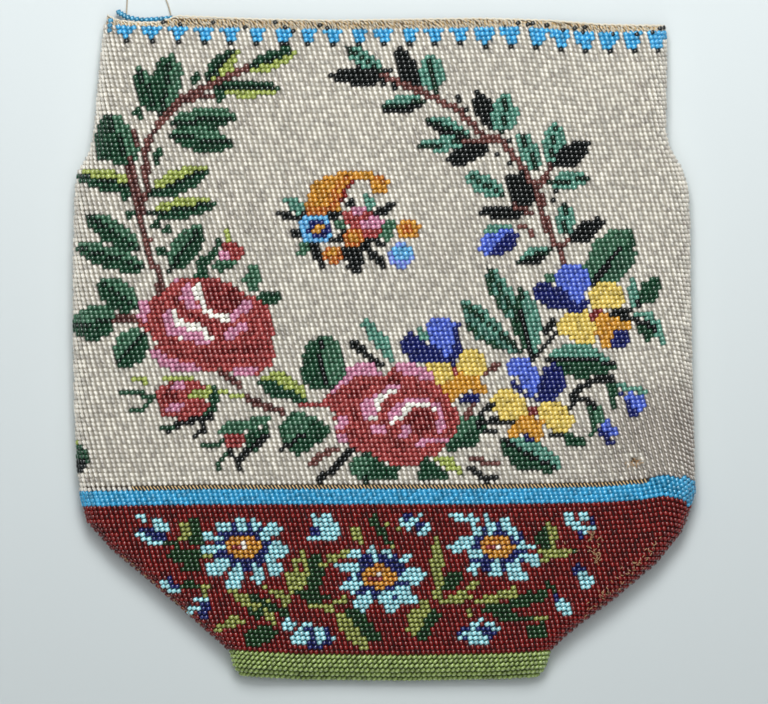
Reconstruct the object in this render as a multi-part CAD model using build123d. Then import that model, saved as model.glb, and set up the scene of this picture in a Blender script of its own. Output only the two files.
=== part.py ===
"""A bead-knitted reticule lying flat on its back, mouth towards +Y, front towards +Z."""
import os
from math import hypot, tan, acos, cos, sin, pi

from build123d import *

# Driving sizes, in millimetres
bag_width = 172.0
bag_height = 181.5
bag_thickness = 8.8
bead_layer = 1.1
knit_wall = 0.4
motif_rise = 0.35
front_roll = 3.8
back_roll = 2.4
bead_row = 1.224
groove_depth = 0.5
groove_width = 0.8
edge_margin = 0.3
smallest_field = 1.2
thread_diameter = 0.4

# The bag's place in the photograph, in pixels
LEFT_PIXEL = 71
RIGHT_PIXEL = 697
MOUTH_PIXEL = 20
FOOT_PIXEL = 680

# Heights of the bead zones in the photograph, in pixels
EDGING_PIXEL = 29
CREAM_FOOT_PIXEL = 484
BAND_TOP_PIXEL = 488
BAND_FOOT_PIXEL = 506
BOWL_FOOT_PIXEL = 654
OVER_MOUTH_PIXEL = -60

# The outline in pixels, each point with its corner radius as a share of the width
OUTLINE_PIXELS = [
    (105, OVER_MOUTH_PIXEL), (90, 148), (71, 186), (76, 498), (90, 531), (228, 653), (232, 680),
    (544, 680), (550, 654), (671, 553), (693, 512), (697, 480), (689, 184), (668, 136), (669, OVER_MOUTH_PIXEL),
]
OUTLINE_RADIUS_SHARES = [
    0.05, 0.08, 0.10, 0.10, 0.12, 0.02, 0.03,
    0.03, 0.02, 0.15, 0.10, 0.2, 0.10, 0.08, 0.05,
]

# A leaf half's outer edge, as shares of the leaf's length and width
LEAF_EDGE_SHARES = [(0.2, 0.36), (0.5, 0.5), (0.8, 0.32)]

# Leaves in pixels: base, tip, width, colour on the left of the way from base to tip, colour on the right
LEAF_PIXELS = [
    ((159, 114), (136, 66), 22, "dark", "mid"),
    ((163, 112), (173, 53), 22, "dark", "mid"),
    ((207, 82), (238, 48), 19, "dark", "lime"),
    ((247, 69), (297, 50), 18, "dark", "lime"),
    ((212, 87), (282, 90), 16, "dark", "lime"),
    ((170, 124), (238, 116), 22, "mid", "dark"),
    ((169, 135), (236, 144), 21, "mid", "dark"),
    ((132, 170), (106, 112), 34, "dark", "mid"),
    ((134, 186), (75, 175), 20, "dark", "lime"),
    ((150, 194), (210, 168), 22, "lime", "dark"),
    ((148, 214), (217, 203), 19, "lime", "dark"),
    ((140, 250), (83, 213), 21, "dark", "mid"),
    ((147, 269), (73, 246), 21, "dark", "mid"),
    ((169, 271), (202, 224), 24, "mid", "dark"),
    ((137, 309), (98, 281), 26, "dark", "mid"),
    ((117, 318), (70, 328), 31, "dark", "mid"),
    ((146, 331), (115, 366), 30, "dark", "mid"),
    ((384, 72), (343, 46), 15, "teal", "teal"),
    ((386, 77), (329, 75), 17, "black", "black"),
    ((418, 90), (396, 45), 19, "black", "black"),
    ((436, 92), (429, 54), 22, "teal", "teal"),
    ((424, 101), (379, 109), 16, "black", "teal"),
    ((470, 136), (424, 118), 15, "black", "teal"),
    ((468, 142), (415, 146), 13, "teal", "teal"),
    ((490, 145), (445, 162), 17, "black", "black"),
    ((494, 130), (476, 90), 17, "black", "black"),
    ((503, 134), (506, 92), 22, "teal", "teal"),
    ((539, 172), (519, 131), 17, "teal", "teal"),
    ((551, 163), (556, 122), 20, "teal", "teal"),
    ((554, 167), (590, 141), 19, "black", "black"),
    ((549, 183), (592, 178), 16, "teal", "teal"),
    ((533, 206), (506, 173), 22, "black", "black"),
    ((527, 213), (477, 212), 13, "black", "black"),
    ((502, 194), (466, 174), 18, "teal", "teal"),
    ((564, 236), (566, 202), 18, "teal", "teal"),
    ((570, 241), (605, 219), 17, "black", "black"),
    ((553, 249), (516, 263), 14, "black", "teal"),
    ((590, 285), (630, 227), 36, "mid", "dark"),
    ((640, 303), (660, 277), 16, "dark", "dark"),
    ((633, 303), (633, 277), 9, "teal", "teal"),
    ((533, 356), (520, 286), 24, "dark", "teal"),
    ((545, 360), (618, 366), 26, "teal", "dark"),
    ((500, 440), (562, 469), 26, "teal", "dark"),
    ((484, 416), (448, 447), 24, "dark", "mid"),
    ((330, 388), (330, 346), 28, "dark", "mid"),
    ((366, 482), (366, 452), 28, "mid", "dark"),
]

# Stems in pixels: width and route
STEM_PIXELS = [
    (7, [(248, 68), (206, 86), (168, 114), (147, 146), (147, 190), (140, 220), (150, 258), (161, 292)]),
    (6, [(130, 160), (140, 212)]),
    (6, [(383, 75), (434, 98), (462, 113), (490, 138), (515, 155), (541, 198), (550, 234), (566, 265)]),
    (5, [(551, 165), (538, 187)]),
]

# Single fields in pixels, uppermost first: colour and outline
FIELD_PIXELS = [
    ("white", [(194, 284), (200, 284), (204, 301), (220, 313), (217, 319), (203, 312), (196, 303)]),
    ("white", [(185, 327), (195, 321), (209, 327), (209, 334), (188, 334)]),
    ("white", [(376, 399), (394, 386), (399, 390), (386, 401), (385, 411), (376, 411)]),
    ("white", [(390, 425), (401, 409), (412, 402), (431, 402), (431, 408), (413, 410), (398, 425)]),
    ("pink", [(181, 286), (197, 286), (199, 302), (210, 314), (189, 311), (179, 300)]),
    ("pink", [(136, 303), (148, 296), (151, 312), (148, 322), (136, 321)]),
    ("pink", [(162, 313), (171, 311), (175, 323), (203, 331), (216, 343), (213, 348), (180, 339), (164, 335)]),
    ("pink", [(222, 324), (234, 317), (250, 294), (254, 308), (246, 331), (230, 341), (223, 336), (232, 327)]),
    ("pink", [(148, 349), (163, 353), (188, 364), (208, 368), (190, 374), (168, 371), (154, 363)]),
    ("pink", [(348, 367), (362, 362), (380, 367), (376, 378), (354, 377), (332, 396), (329, 387)]),
    ("pink", [(393, 364), (416, 361), (438, 380), (425, 380), (396, 371)]),
    ("pink", [(358, 402), (376, 395), (390, 384), (402, 383), (391, 393), (381, 402), (381, 415), (366, 419)]),
    ("pink", [(389, 413), (404, 400), (430, 397), (443, 409), (446, 424), (440, 433), (436, 412), (428, 405),
              (412, 406), (400, 416), (395, 423)]),
    ("pink", [(333, 418), (350, 417), (347, 430), (352, 442), (330, 436)]),
    ("pink", [(413, 444), (430, 436), (454, 438), (430, 445)]),
    ("crimson", [(139, 318), (141, 304), (152, 297), (166, 291), (182, 276), (219, 279), (243, 293), (264, 302),
                 (274, 334), (274, 358), (268, 369), (206, 371), (172, 371), (151, 351), (157, 341), (140, 326)]),
    ("crimson", [(321, 403), (335, 385), (352, 367), (374, 365), (386, 378), (397, 365), (416, 364), (448, 398),
                 (459, 420), (443, 453), (400, 467), (370, 453), (353, 452), (335, 440), (342, 416)]),
    ("crimson", [(153, 401), (160, 386), (182, 381), (202, 383), (208, 405), (190, 418), (160, 412)]),
    ("crimson", [(222, 252), (230, 243), (242, 250), (240, 262), (228, 263)]),
    ("crimson", [(224, 441), (234, 432), (245, 439), (240, 449), (229, 449)]),
    ("amber", [(305, 211), (310, 188), (322, 176), (342, 169), (372, 169), (388, 181), (384, 193), (371, 192),
               (368, 179), (352, 180), (343, 195), (338, 211), (308, 215)]),
    ("crimson", [(343, 213), (356, 206), (374, 212), (383, 221), (376, 238), (360, 236), (344, 223)]),
    ("amber", [(344, 240), (349, 230), (358, 230), (362, 240), (356, 248), (348, 247)]),
    ("amber", [(325, 256), (329, 247), (339, 246), (344, 255), (338, 263), (329, 262)]),
    ("amber", [(397, 229), (403, 220), (413, 220), (419, 229), (413, 239), (403, 238)]),
    ("navy", [(308, 226), (316, 219), (327, 226), (326, 236), (317, 240), (309, 236)]),
    ("sky", [(301, 232), (303, 219), (315, 214), (330, 220), (333, 233), (326, 244), (310, 243)]),
    ("sky", [(389, 254), (394, 244), (406, 243), (412, 255), (406, 267), (394, 264)]),
    ("royal", [(556, 272), (561, 266), (580, 265), (590, 279), (584, 303), (576, 304), (558, 287)]),
    ("navy", [(533, 288), (540, 283), (556, 287), (576, 299), (590, 293), (589, 311), (553, 311), (537, 301)]),
    ("yellow", [(589, 297), (595, 283), (614, 281), (623, 293), (618, 310), (592, 308)]),
    ("yellow", [(558, 323), (572, 311), (590, 311), (595, 330), (592, 343), (570, 338)]),
    ("navy", [(611, 331), (631, 329), (624, 349), (613, 349)]),
    ("amber", [(592, 312), (610, 311), (630, 323), (629, 331), (611, 332), (613, 349), (603, 347), (595, 333)]),
    ("royal", [(428, 326), (433, 318), (452, 318), (455, 330), (448, 358), (441, 352), (430, 345)]),
    ("navy", [(400, 345), (404, 333), (414, 332), (430, 345), (448, 358), (456, 322), (463, 350), (453, 368),
              (440, 362), (408, 361)]),
    ("yellow", [(455, 367), (460, 354), (472, 348), (486, 362), (482, 377), (462, 375)]),
    ("yellow", [(421, 367), (432, 361), (451, 364), (454, 380), (440, 384)]),
    ("navy", [(456, 404), (466, 390), (482, 397), (477, 405)]),
    ("amber", [(442, 385), (458, 372), (478, 377), (486, 397), (466, 390), (453, 404)]),
    ("royal", [(505, 366), (511, 359), (527, 359), (541, 378), (534, 402), (524, 388), (510, 377)]),
    ("navy", [(541, 374), (553, 363), (567, 380), (556, 401), (535, 404), (538, 388)]),
    ("yellow", [(491, 400), (497, 389), (510, 388), (529, 407), (520, 420), (500, 418)]),
    ("yellow", [(537, 405), (558, 402), (572, 418), (568, 433), (549, 429)]),
    ("amber", [(510, 432), (524, 415), (538, 412), (547, 431), (540, 440), (513, 437)]),
    ("royal", [(477, 249), (486, 234), (510, 230), (507, 244), (490, 256)]),
    ("navy", [(510, 230), (519, 231), (515, 247), (500, 254), (490, 256), (507, 244)]),
    ("royal", [(626, 398), (633, 392), (645, 397), (643, 412), (634, 408)]),
    ("navy", [(620, 391), (626, 398), (634, 408), (643, 412), (640, 417), (629, 417)]),
    ("royal", [(601, 423), (608, 420), (618, 436), (611, 439)]),
    ("navy", [(597, 421), (601, 423), (611, 439), (617, 438), (612, 444), (604, 443)]),
    ("mid", [(380, 240), (385, 221), (397, 221), (392, 239)]),
    ("mid", [(219, 434), (226, 423), (268, 415), (262, 425), (236, 431)]),
    ("dark", [(246, 439), (250, 430), (268, 424), (262, 440), (247, 452)]),
    ("black", [(375, 215), (383, 205), (396, 203), (386, 218)]),
    ("black", [(313, 248), (324, 248), (327, 263), (319, 262)]),
    ("black", [(346, 249), (362, 249), (361, 263), (355, 271), (348, 262)]),
    ("black", [(364, 243), (372, 250), (385, 265), (379, 266), (366, 255)]),
]

# Daisies in pixels: centre, then petals as tip places with their widths
DAISY_CENTRE_PIXELS = [(243, 547), (379, 577), (497, 547)]
DAISY_CENTRE_WIDE_PIXELS = 33
DAISY_CENTRE_HIGH_PIXELS = 23
DAISY_HEART_CORNERS = 10
DAISY_PETAL_PIXELS = 13
DAISY_TIP_PIXELS = [
    [(217, 525), (202, 536), (201, 549), (211, 575), (233, 590), (258, 581), (274, 576), (288, 549), (277, 528),
     (256, 520), (238, 519)],
    [(350, 553), (337, 567), (341, 588), (361, 611), (389, 612), (414, 601), (423, 575), (407, 556), (390, 550),
     (371, 548)],
    [(464, 523), (449, 546), (466, 570), (495, 578), (522, 579), (539, 561), (536, 546), (513, 530), (486, 515)],
]
# Where a petal starts and is widest, as shares of the way from the centre to its tip
DAISY_START_SHARE = 0.42
DAISY_WIDEST_SHARE = 0.8

# Buds and leaves on the bowl in pixels, uppermost first
BOWL_PIXELS = [
    ("aqua", [(150, 518), (161, 518), (168, 531), (152, 530)]),
    ("aqua", [(134, 530), (150, 538), (168, 536), (158, 544), (140, 539)]),
    ("navy", [(140, 529), (168, 531), (168, 536), (150, 538)]),
    ("aqua", [(322, 515), (332, 516), (341, 530), (331, 541), (308, 540), (322, 532), (316, 522)]),
    ("aqua", [(399, 518), (405, 524), (418, 515), (412, 528), (427, 524), (424, 536), (407, 533)]),
    ("aqua", [(562, 515), (586, 514), (598, 529), (577, 531)]),
    ("aqua", [(281, 624), (288, 618), (297, 622), (308, 631), (306, 644), (293, 644), (294, 632)]),
    ("aqua", [(313, 638), (320, 627), (334, 640), (322, 648)]),
    ("aqua", [(454, 634), (476, 628), (491, 644), (470, 646)]),
    ("aqua", [(484, 621), (499, 629), (494, 634), (480, 627)]),
    ("aqua", [(576, 571), (585, 570), (594, 578), (588, 588), (577, 581)]),
    ("aqua", [(554, 605), (562, 599), (573, 607), (565, 617)]),
    ("aqua", [(163, 580), (168, 586), (179, 588), (176, 593), (165, 590)]),
    ("aqua", [(196, 600), (205, 598), (198, 612), (189, 614), (190, 607)]),
    ("navy", [(205, 598), (210, 606), (206, 619), (198, 612)]),
    ("olive", [(178, 521), (185, 523), (194, 541), (180, 539)]),
    ("olive", [(286, 574), (302, 572), (308, 580), (301, 597), (289, 593)]),
    ("olive", [(351, 526), (363, 530), (363, 546), (353, 540)]),
    ("olive", [(336, 622), (343, 614), (360, 630), (361, 646), (350, 640)]),
    ("olive", [(430, 562), (436, 539), (443, 552), (441, 588), (433, 582)]),
    ("olive", [(407, 614), (428, 601), (429, 617), (413, 634)]),
    ("olive", [(455, 599), (465, 590), (471, 597), (461, 604)]),
    ("olive", [(213, 631), (230, 616), (245, 621), (232, 629)]),
    ("olive", [(543, 519), (558, 530), (555, 549), (549, 536)]),
    ("olive", [(504, 600), (508, 590), (518, 590), (516, 600)]),
    ("forest", [(189, 519), (199, 520), (201, 545), (191, 542)]),
    ("forest", [(165, 553), (200, 549), (200, 567), (174, 562)]),
    ("forest", [(309, 560), (318, 552), (323, 575), (318, 598), (307, 597)]),
    ("forest", [(243, 636), (262, 624), (277, 632), (266, 644), (247, 645)]),
    ("forest", [(345, 611), (358, 614), (377, 638), (368, 642)]),
    ("forest", [(443, 590), (446, 574), (463, 573), (456, 588)]),
    ("forest", [(430, 608), (441, 616), (420, 640), (415, 636), (429, 620)]),
    ("forest", [(499, 608), (530, 589), (528, 600), (508, 612)]),
    ("forest", [(527, 634), (545, 620), (543, 634), (533, 640)]),
    ("forest", [(535, 537), (544, 524), (549, 548), (541, 549)]),
]

# Border triangles in pixels
TRIANGLE_COUNT = 22
TRIANGLE_FIRST_PIXEL = 125
TRIANGLE_STEP_PIXELS = 25.4
TRIANGLE_TOP_PIXEL = 30
TRIANGLE_FOOT_PIXEL = 45
TRIANGLE_TOP_HALF_PIXELS = 9
TRIANGLE_FOOT_HALF_PIXELS = 3

# Loose thread's route in millimetres, from the mouth's corner down to the floor and back
THREAD_SIDES = 6
thread_exit = 0.9
thread_slope = 0.5
thread_floor = thread_diameter / 2
thread_route = [
    (-71.2, 90.75, thread_exit), (-71.1, 94.0, thread_slope), (-70.8, 98.0, thread_floor),
    (-70.0, 102.4, thread_floor), (-66.8, 105.8, thread_floor), (-63.0, 102.8, thread_floor),
    (-60.6, 97.8, thread_floor), (-59.1, 94.0, thread_slope), (-58.5, 90.75, thread_exit),
]
thread_bend_share = 0.45
# The roll of the front edge, as a share of the outline's tightest outer corner at most
roll_corner_share = 0.98

middle_pixel = (LEFT_PIXEL + RIGHT_PIXEL) / 2
half_way_pixel = (MOUTH_PIXEL + FOOT_PIXEL) / 2
across = bag_width / (RIGHT_PIXEL - LEFT_PIXEL)
upward = bag_height / (FOOT_PIXEL - MOUTH_PIXEL)


def at(place):
    """A place in the photograph as a place on the bag."""
    return ((place[0] - middle_pixel) * across, (half_way_pixel - place[1]) * upward)


def height(pixel):
    """A height in the photograph as a height on the bag."""
    return (half_way_pixel - pixel) * upward


def outline_corners():
    """The outline's places, each corner's radius limited by the shorter edge beside it, and the tightest radius of
    the corners that point outward."""
    places = [at(place) for place in OUTLINE_PIXELS]
    radii = [share * bag_width for share in OUTLINE_RADIUS_SHARES]
    count = len(places)
    fitted, outward = [], []
    for index in range(count):
        back, here, ahead = places[index - 1], places[index], places[(index + 1) % count]
        one = (back[0] - here[0], back[1] - here[1])
        two = (ahead[0] - here[0], ahead[1] - here[1])
        shorter = min(hypot(*one), hypot(*two))
        inner = acos((one[0] * two[0] + one[1] * two[1]) / (hypot(*one) * hypot(*two)))
        fitted.append(min(radii[index], thread_bend_share * shorter * tan(inner / 2)))
        if one[0] * two[1] < one[1] * two[0]:
            outward.append(fitted[-1])
    return places, fitted, min(outward)


def outline():
    """The plan outline of the bag, run past the mouth."""
    places, fitted, _ = outline_corners()
    return make_face(FilletPolyline(*places, radius=fitted, close=True))


def pillow(inset):
    """The flattened bag's body, drawn in by an inset: a rolled front edge outside, plain bevels elsewhere. The roll
    stays within the tightest outer corner."""
    plan = outline()
    roll = min(front_roll, roll_corner_share * outline_corners()[2])
    if inset > 0:
        plan = offset(plan, amount=-inset)
    body = extrude(plan, amount=bag_thickness - 2 * inset).moved(Location((0, 0, inset)))
    finish = chamfer if inset > 0 else fillet
    body = finish(body.faces().sort_by(Axis.Z)[-1].edges(), roll - inset)
    return chamfer(body.faces().sort_by(Axis.Z)[0].edges(), back_roll - inset)


def slab(foot_pixel, top_pixel):
    """A slice of space between two heights in the photograph."""
    foot, top = height(foot_pixel), height(top_pixel)
    return Box(2 * bag_width, top - foot, 4 * bag_thickness).moved(Location((0, (foot + top) / 2, 0)))


def grooves(foot_pixel, top_pixel, flat):
    """Shallow grooves along the flat front between the bead rows of one zone."""
    foot, top = height(foot_pixel), height(top_pixel)
    count = round((top - foot) / bead_row)
    step = (top - foot) / count
    section = Plane.YZ * Polygon(
        (-groove_width / 2, bag_thickness), (groove_width / 2, bag_thickness),
        (0, bag_thickness - groove_depth), align=None,
    )
    notch = extrude(section, amount=bag_width, both=True)
    rows = [notch.moved(Location((0, foot + step * index, 0))) for index in range(1, count)]
    return Part() + rows & flat


def field(places):
    """A flat field of the pattern from its corner pixels."""
    return make_face(Polyline(*[at(place) for place in places], close=True)).face()


def leaf_halves(base, tip, width):
    """The left and right halves of a pointed leaf, in pixels."""
    run = (tip[0] - base[0], tip[1] - base[1])
    length = hypot(*run)
    out = (run[1] / length, -run[0] / length)
    halves = []
    for sign in (1, -1):
        edge = [
            (base[0] + run[0] * along + sign * out[0] * width * aside,
             base[1] + run[1] * along + sign * out[1] * width * aside)
            for along, aside in LEAF_EDGE_SHARES
        ]
        halves.append([base] + edge + [tip])
    return halves


def stroke(width, route):
    """A stem's outline in pixels along its route."""
    left, right = [], []
    for index, here in enumerate(route):
        back = route[max(index - 1, 0)]
        ahead = route[min(index + 1, len(route) - 1)]
        run = (ahead[0] - back[0], ahead[1] - back[1])
        length = hypot(*run)
        out = (run[1] / length * width / 2, -run[0] / length * width / 2)
        left.append((here[0] + out[0], here[1] + out[1]))
        right.append((here[0] - out[0], here[1] - out[1]))
    return left + right[::-1]


def petal(centre, tip):
    """A daisy petal's outline in pixels, broad near its tip."""
    run = (tip[0] - centre[0], tip[1] - centre[1])
    length = hypot(*run)
    out = (run[1] / length * DAISY_PETAL_PIXELS / 2, -run[0] / length * DAISY_PETAL_PIXELS / 2)
    start = (centre[0] + run[0] * DAISY_START_SHARE, centre[1] + run[1] * DAISY_START_SHARE)
    wide = (centre[0] + run[0] * DAISY_WIDEST_SHARE, centre[1] + run[1] * DAISY_WIDEST_SHARE)
    return [start, (wide[0] + out[0], wide[1] + out[1]), tip, (wide[0] - out[0], wide[1] - out[1])]


def daisy_heart(centre):
    """A daisy's oval heart in pixels, stepped as beads are."""
    turns = [2 * pi * step / DAISY_HEART_CORNERS for step in range(DAISY_HEART_CORNERS)]
    return [
        (centre[0] + DAISY_CENTRE_WIDE_PIXELS / 2 * cos(turn), centre[1] + DAISY_CENTRE_HIGH_PIXELS / 2 * sin(turn))
        for turn in turns
    ]


def drawn_fields():
    """All fields of the pattern with their colours, uppermost first."""
    drawn = [(colour, field(places)) for colour, places in FIELD_PIXELS]
    for centre, tips in zip(DAISY_CENTRE_PIXELS, DAISY_TIP_PIXELS):
        drawn.append(("amber", field(daisy_heart(centre))))
        drawn += [("aqua", field(petal(centre, tip))) for tip in tips]
    drawn += [(colour, field(places)) for colour, places in BOWL_PIXELS]
    for base, tip, width, left, right in LEAF_PIXELS:
        one, two = leaf_halves(base, tip, width)
        if left == right:
            drawn.append((left, field(one + two[-2:0:-1])))
        else:
            drawn += [(left, field(one)), (right, field(two))]
    for index in range(TRIANGLE_COUNT):
        x = TRIANGLE_FIRST_PIXEL + TRIANGLE_STEP_PIXELS * index
        drawn.append(("border", field([
            (x - TRIANGLE_TOP_HALF_PIXELS, TRIANGLE_TOP_PIXEL), (x + TRIANGLE_TOP_HALF_PIXELS, TRIANGLE_TOP_PIXEL),
            (x + TRIANGLE_FOOT_HALF_PIXELS, TRIANGLE_FOOT_PIXEL),
            (x - TRIANGLE_FOOT_HALF_PIXELS, TRIANGLE_FOOT_PIXEL),
        ])))
    drawn += [("brown", field(stroke(width, route))) for width, route in STEM_PIXELS]
    return drawn


def apart(one, two):
    """Whether two flat fields' boxes lie clear of each other."""
    a, b = one.bounding_box(), two.bounding_box()
    return a.max.X <= b.min.X or b.max.X <= a.min.X or a.max.Y <= b.min.Y or b.max.Y <= a.min.Y


def laid_fields():
    """The fields cut so that each shows only where none lies over it, and kept to the flat front."""
    front = offset(outline(), amount=-(front_roll + edge_margin)).face()
    laid = []
    for colour, face in drawn_fields():
        pieces = (Sketch() + face & Sketch() + front).faces()
        for _, upper in list(laid):
            kept = []
            for piece in pieces:
                kept += [piece] if apart(piece, upper) else (Sketch() + piece - upper).faces()
            pieces = kept
        laid += [(colour, piece) for piece in pieces if piece.area > smallest_field]
    return laid


def loose_thread():
    """The loose thread, straight runs joined by arcs, with a six-sided section."""
    points = [Vector(*point) for point in thread_route]
    radii = []
    for back, here, ahead in zip(points, points[1:], points[2:]):
        one, two = back - here, ahead - here
        inner = one.get_angle(two) * pi / 180
        radii.append(thread_bend_share * min(one.length, two.length) * tan(inner / 2))
    path = FilletPolyline(*points, radius=radii)
    section = RegularPolygon(thread_diameter / 2, THREAD_SIDES)
    tube = sweep(Plane(origin=path @ 0, z_dir=path % 0) * section, path=path)
    print("thread length", round(path.length, 2), "least radius", round(min(radii), 2))
    print("thread volume", round(tube.volume, 3), "of", round(section.area * path.length, 3))
    return tube


NODE_NAMES = {
    "border": "border_triangles", "dark": "dark_green_leaves", "mid": "mid_green_leaves",
    "lime": "yellow_green_leaves", "black": "black_leaves", "teal": "teal_leaves", "brown": "brown_stems",
    "crimson": "crimson_roses", "pink": "pink_petals", "white": "white_highlights", "royal": "royal_blue_petals",
    "navy": "navy_petals", "yellow": "yellow_petals", "amber": "amber_fields", "sky": "sky_blue_flowers",
    "aqua": "daisy_petals", "olive": "olive_leaves", "forest": "forest_green_leaves",
}

os.makedirs("parts", exist_ok=True)

outer, middle, inner = pillow(0), pillow(bead_layer), pillow(bead_layer + knit_wall)
beads = outer - middle
flat = extrude(offset(outline(), amount=-(front_roll + edge_margin)), amount=2 * bag_thickness)
zones = {
    "mouth_edging": (EDGING_PIXEL, MOUTH_PIXEL),
    "cream_beads": (CREAM_FOOT_PIXEL, EDGING_PIXEL),
    "blue_band": (BAND_FOOT_PIXEL, BAND_TOP_PIXEL),
    "garnet_beads": (BOWL_FOOT_PIXEL, BAND_FOOT_PIXEL),
    "green_base": (FOOT_PIXEL, BOWL_FOOT_PIXEL),
}
for name, (foot, top) in zones.items():
    ring = beads & slab(foot, top)
    export_step(ring - grooves(foot, top, flat), "parts/" + name + ".step")

export_step((middle - inner) & slab(FOOT_PIXEL, MOUTH_PIXEL), "parts/knit_ground.step")

laid = laid_fields()
for colour, name in NODE_NAMES.items():
    flats = [piece for own, piece in laid if own == colour]
    solids = [extrude(piece, amount=motif_rise, dir=(0, 0, 1)).moved(Location((0, 0, bag_thickness)))
              for piece in flats]
    group = Part() + solids
    print(name, len(flats), "fields,", len(group.solids()), "solids")
    export_step(group, "parts/" + name + ".step")

export_step(loose_thread(), "parts/loose_thread.step")
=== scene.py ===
"""A bead-knitted reticule lying on its back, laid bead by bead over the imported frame."""

import math

import bpy
import numpy as np
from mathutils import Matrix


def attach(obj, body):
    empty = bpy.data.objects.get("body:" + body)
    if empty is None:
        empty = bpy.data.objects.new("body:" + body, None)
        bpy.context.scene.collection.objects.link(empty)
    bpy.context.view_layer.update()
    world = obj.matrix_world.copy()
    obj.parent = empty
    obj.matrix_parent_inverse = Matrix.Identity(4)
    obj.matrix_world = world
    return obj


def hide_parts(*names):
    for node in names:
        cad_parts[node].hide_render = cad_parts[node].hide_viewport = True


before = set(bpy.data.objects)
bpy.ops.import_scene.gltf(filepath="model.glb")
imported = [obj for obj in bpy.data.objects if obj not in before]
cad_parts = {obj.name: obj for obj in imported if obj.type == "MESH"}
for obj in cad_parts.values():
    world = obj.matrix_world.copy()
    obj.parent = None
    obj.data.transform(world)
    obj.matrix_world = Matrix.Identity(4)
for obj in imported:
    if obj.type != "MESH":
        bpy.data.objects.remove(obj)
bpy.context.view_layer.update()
dice = np.random.default_rng(1830)

# The photograph's frame, in pixels, and one pixel's size on the bag, in metres
IMAGE_WIDE, IMAGE_HIGH = 768, 704
MIDDLE_X, MIDDLE_Y = 384, 350
PIXEL = 0.000275

# A stitch's half sizes, the cloth's depth under the skin and the width of the falls at the edges, in metres
STITCH_LONG, STITCH_THIN = 0.00105, 0.00019
GROUND_DEPTH = 0.00098
FALL_FRONT, FALL_BACK = 0.0070, 0.0035
# The bead lattice in pixels: pitches, the columns' lean per pixel of height and how many lie on each side,
# how they crowd to the right, unevenness, and the margin at the edges as a share of a column
COLUMN_PITCH, ROW_PITCH = 5.08, 4.45
COLUMN_LEAN, COLUMN_REACH = 0.25, 90
COLUMN_CROWDING, CROWDING_REACH = 5.0, 300
COLUMN_WANDER, ROW_WANDER = 0.16, 0.14
EDGE_MARGIN = 0.3
# Heights in pixels, bead rows by number, and the cloth's grid with its first and last height and its margin
FIRST_ROW_Y, CREAM_SPLIT_Y, FOOT_Y = 31, 250, 681
BARE_ROW, FIRST_GARNET_ROW, FIRST_BASE_ROW, ROW_COUNT = 102, 107, 140, 146
CLOTH_ROWS, CLOTH_COLUMNS, CLOTH_LEVELS, CLOTH_MARGIN = 150, 140, (20, 677), 0.5
# Low puckers of the front: height, wave lengths and starts, broad ones and fine ones, in metres
BROAD_PUCKER, BROAD_WAVES, BROAD_STARTS = 0.00022, (0.017, 0.026), (1.1, 0.5)
FINE_PUCKER, FINE_WAVES = 0.00016, (0.009, 0.013)

# Half sizes of a bead along its hole, across it and up, in metres
BEAD_TALL = 0.00066
BEAD = (0.00072, 0.00084, BEAD_TALL)
BACK_BEAD = (0.00072, 0.00084, BEAD_TALL * 0.95)
BASE_BEAD = (0.00047, 0.00088, BEAD_TALL)
CREAM_BEAD = (0.00074, 0.00053, 0.00052)
GARNET_BEAD = (0.00076, 0.00064, 0.00050)
BOWL_BEAD_SHARE, BEAD_SPREAD = 0.88, 0.035
# How the line of a bead's hole leans from its row, in radians, with how much beads and stitches differ
SLANT, BASE_SLANT, CREAM_SLANT, GARNET_SLANT = -1.08, -0.92, -1.0, -1.2
EDGE_SLANT, STEEL_SLANT, BARE_SLANT, WORN_SLANT = -1.2, -1.0, -0.95, 1.5
SLANT_SPREAD, STITCH_SLANT_SPREAD = 0.07, 0.08
# Tones from 0, a bead's body colour, to 1, its second tone: means, and how much beads differ
GROUND_TONE, WORN_TONE, BACK_TONE, EDGE_TONE, STEEL_TONE = 0.22, 0.5, 0.3, 0.7, 0.1
GROUND_SPREAD, BACK_SPREAD, PATTERN_SPREAD = 0.1, 0.1, 0.07
BEAD_TONE_SPREADS, TONE_SPREAD = {"brown": 0.4, "garnet": 0.35}, 0.14
# The darker ground at the lower right, painted shade towards the lower right edge, and the clouds all over:
# tone, place, reach and wave lengths in pixels
SHADE, SHADE_PLACE, SHADE_REACH = 1.1, (672, 446), (70, 56)
CLOUD, CLOUD_WAVES = 0.12, (37, 53, 41)
# The bead chart's cells a side, and the half width of a bead in its cell
CELLS, CELL_FILL = 8, 0.36

# Edges of the bag in the photograph, in pixels
LEFT_EDGE = [
    (109, 0), (103, 14), (97, 70), (92, 130), (87, 152), (76, 171), (73, 186), (71, 250), (71, 330),
    (72, 400), (75, 470), (79, 500), (85, 522), (110, 550), (150, 583), (190, 618), (228, 652), (231, 665),
    (236, 673), (246, 681),
]
RIGHT_EDGE = [
    (668, 0), (669, 60), (668, 130), (673, 150), (683, 166), (690, 186), (692, 220), (693, 300), (695, 400),
    (697, 480), (697, 492), (693, 508), (685, 530), (660, 562), (620, 596), (580, 626), (553, 650),
    (548, 665), (543, 674), (531, 681),
]
# Half the bag's thickness down its length: pixel height and metres
SAG = [(0, 0.0030), (30, 0.0034), (110, 0.0043), (600, 0.0044), (648, 0.0042), (668, 0.0033), (676, 0.0022),
       (682, 0.0011)]
HALF_THICK, FOOT_THICK = SAG[3][1], SAG[-1][1]
# The mouth's rim on the front, in pixels
RIM = [(103, 14), (110, 17), (118, 20), (135, 22), (160, 22), (170, 18), (177, 15.5), (215, 17), (260, 19),
       (330, 20), (480, 18), (550, 20), (600, 24), (640, 25), (668, 25)]
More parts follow.
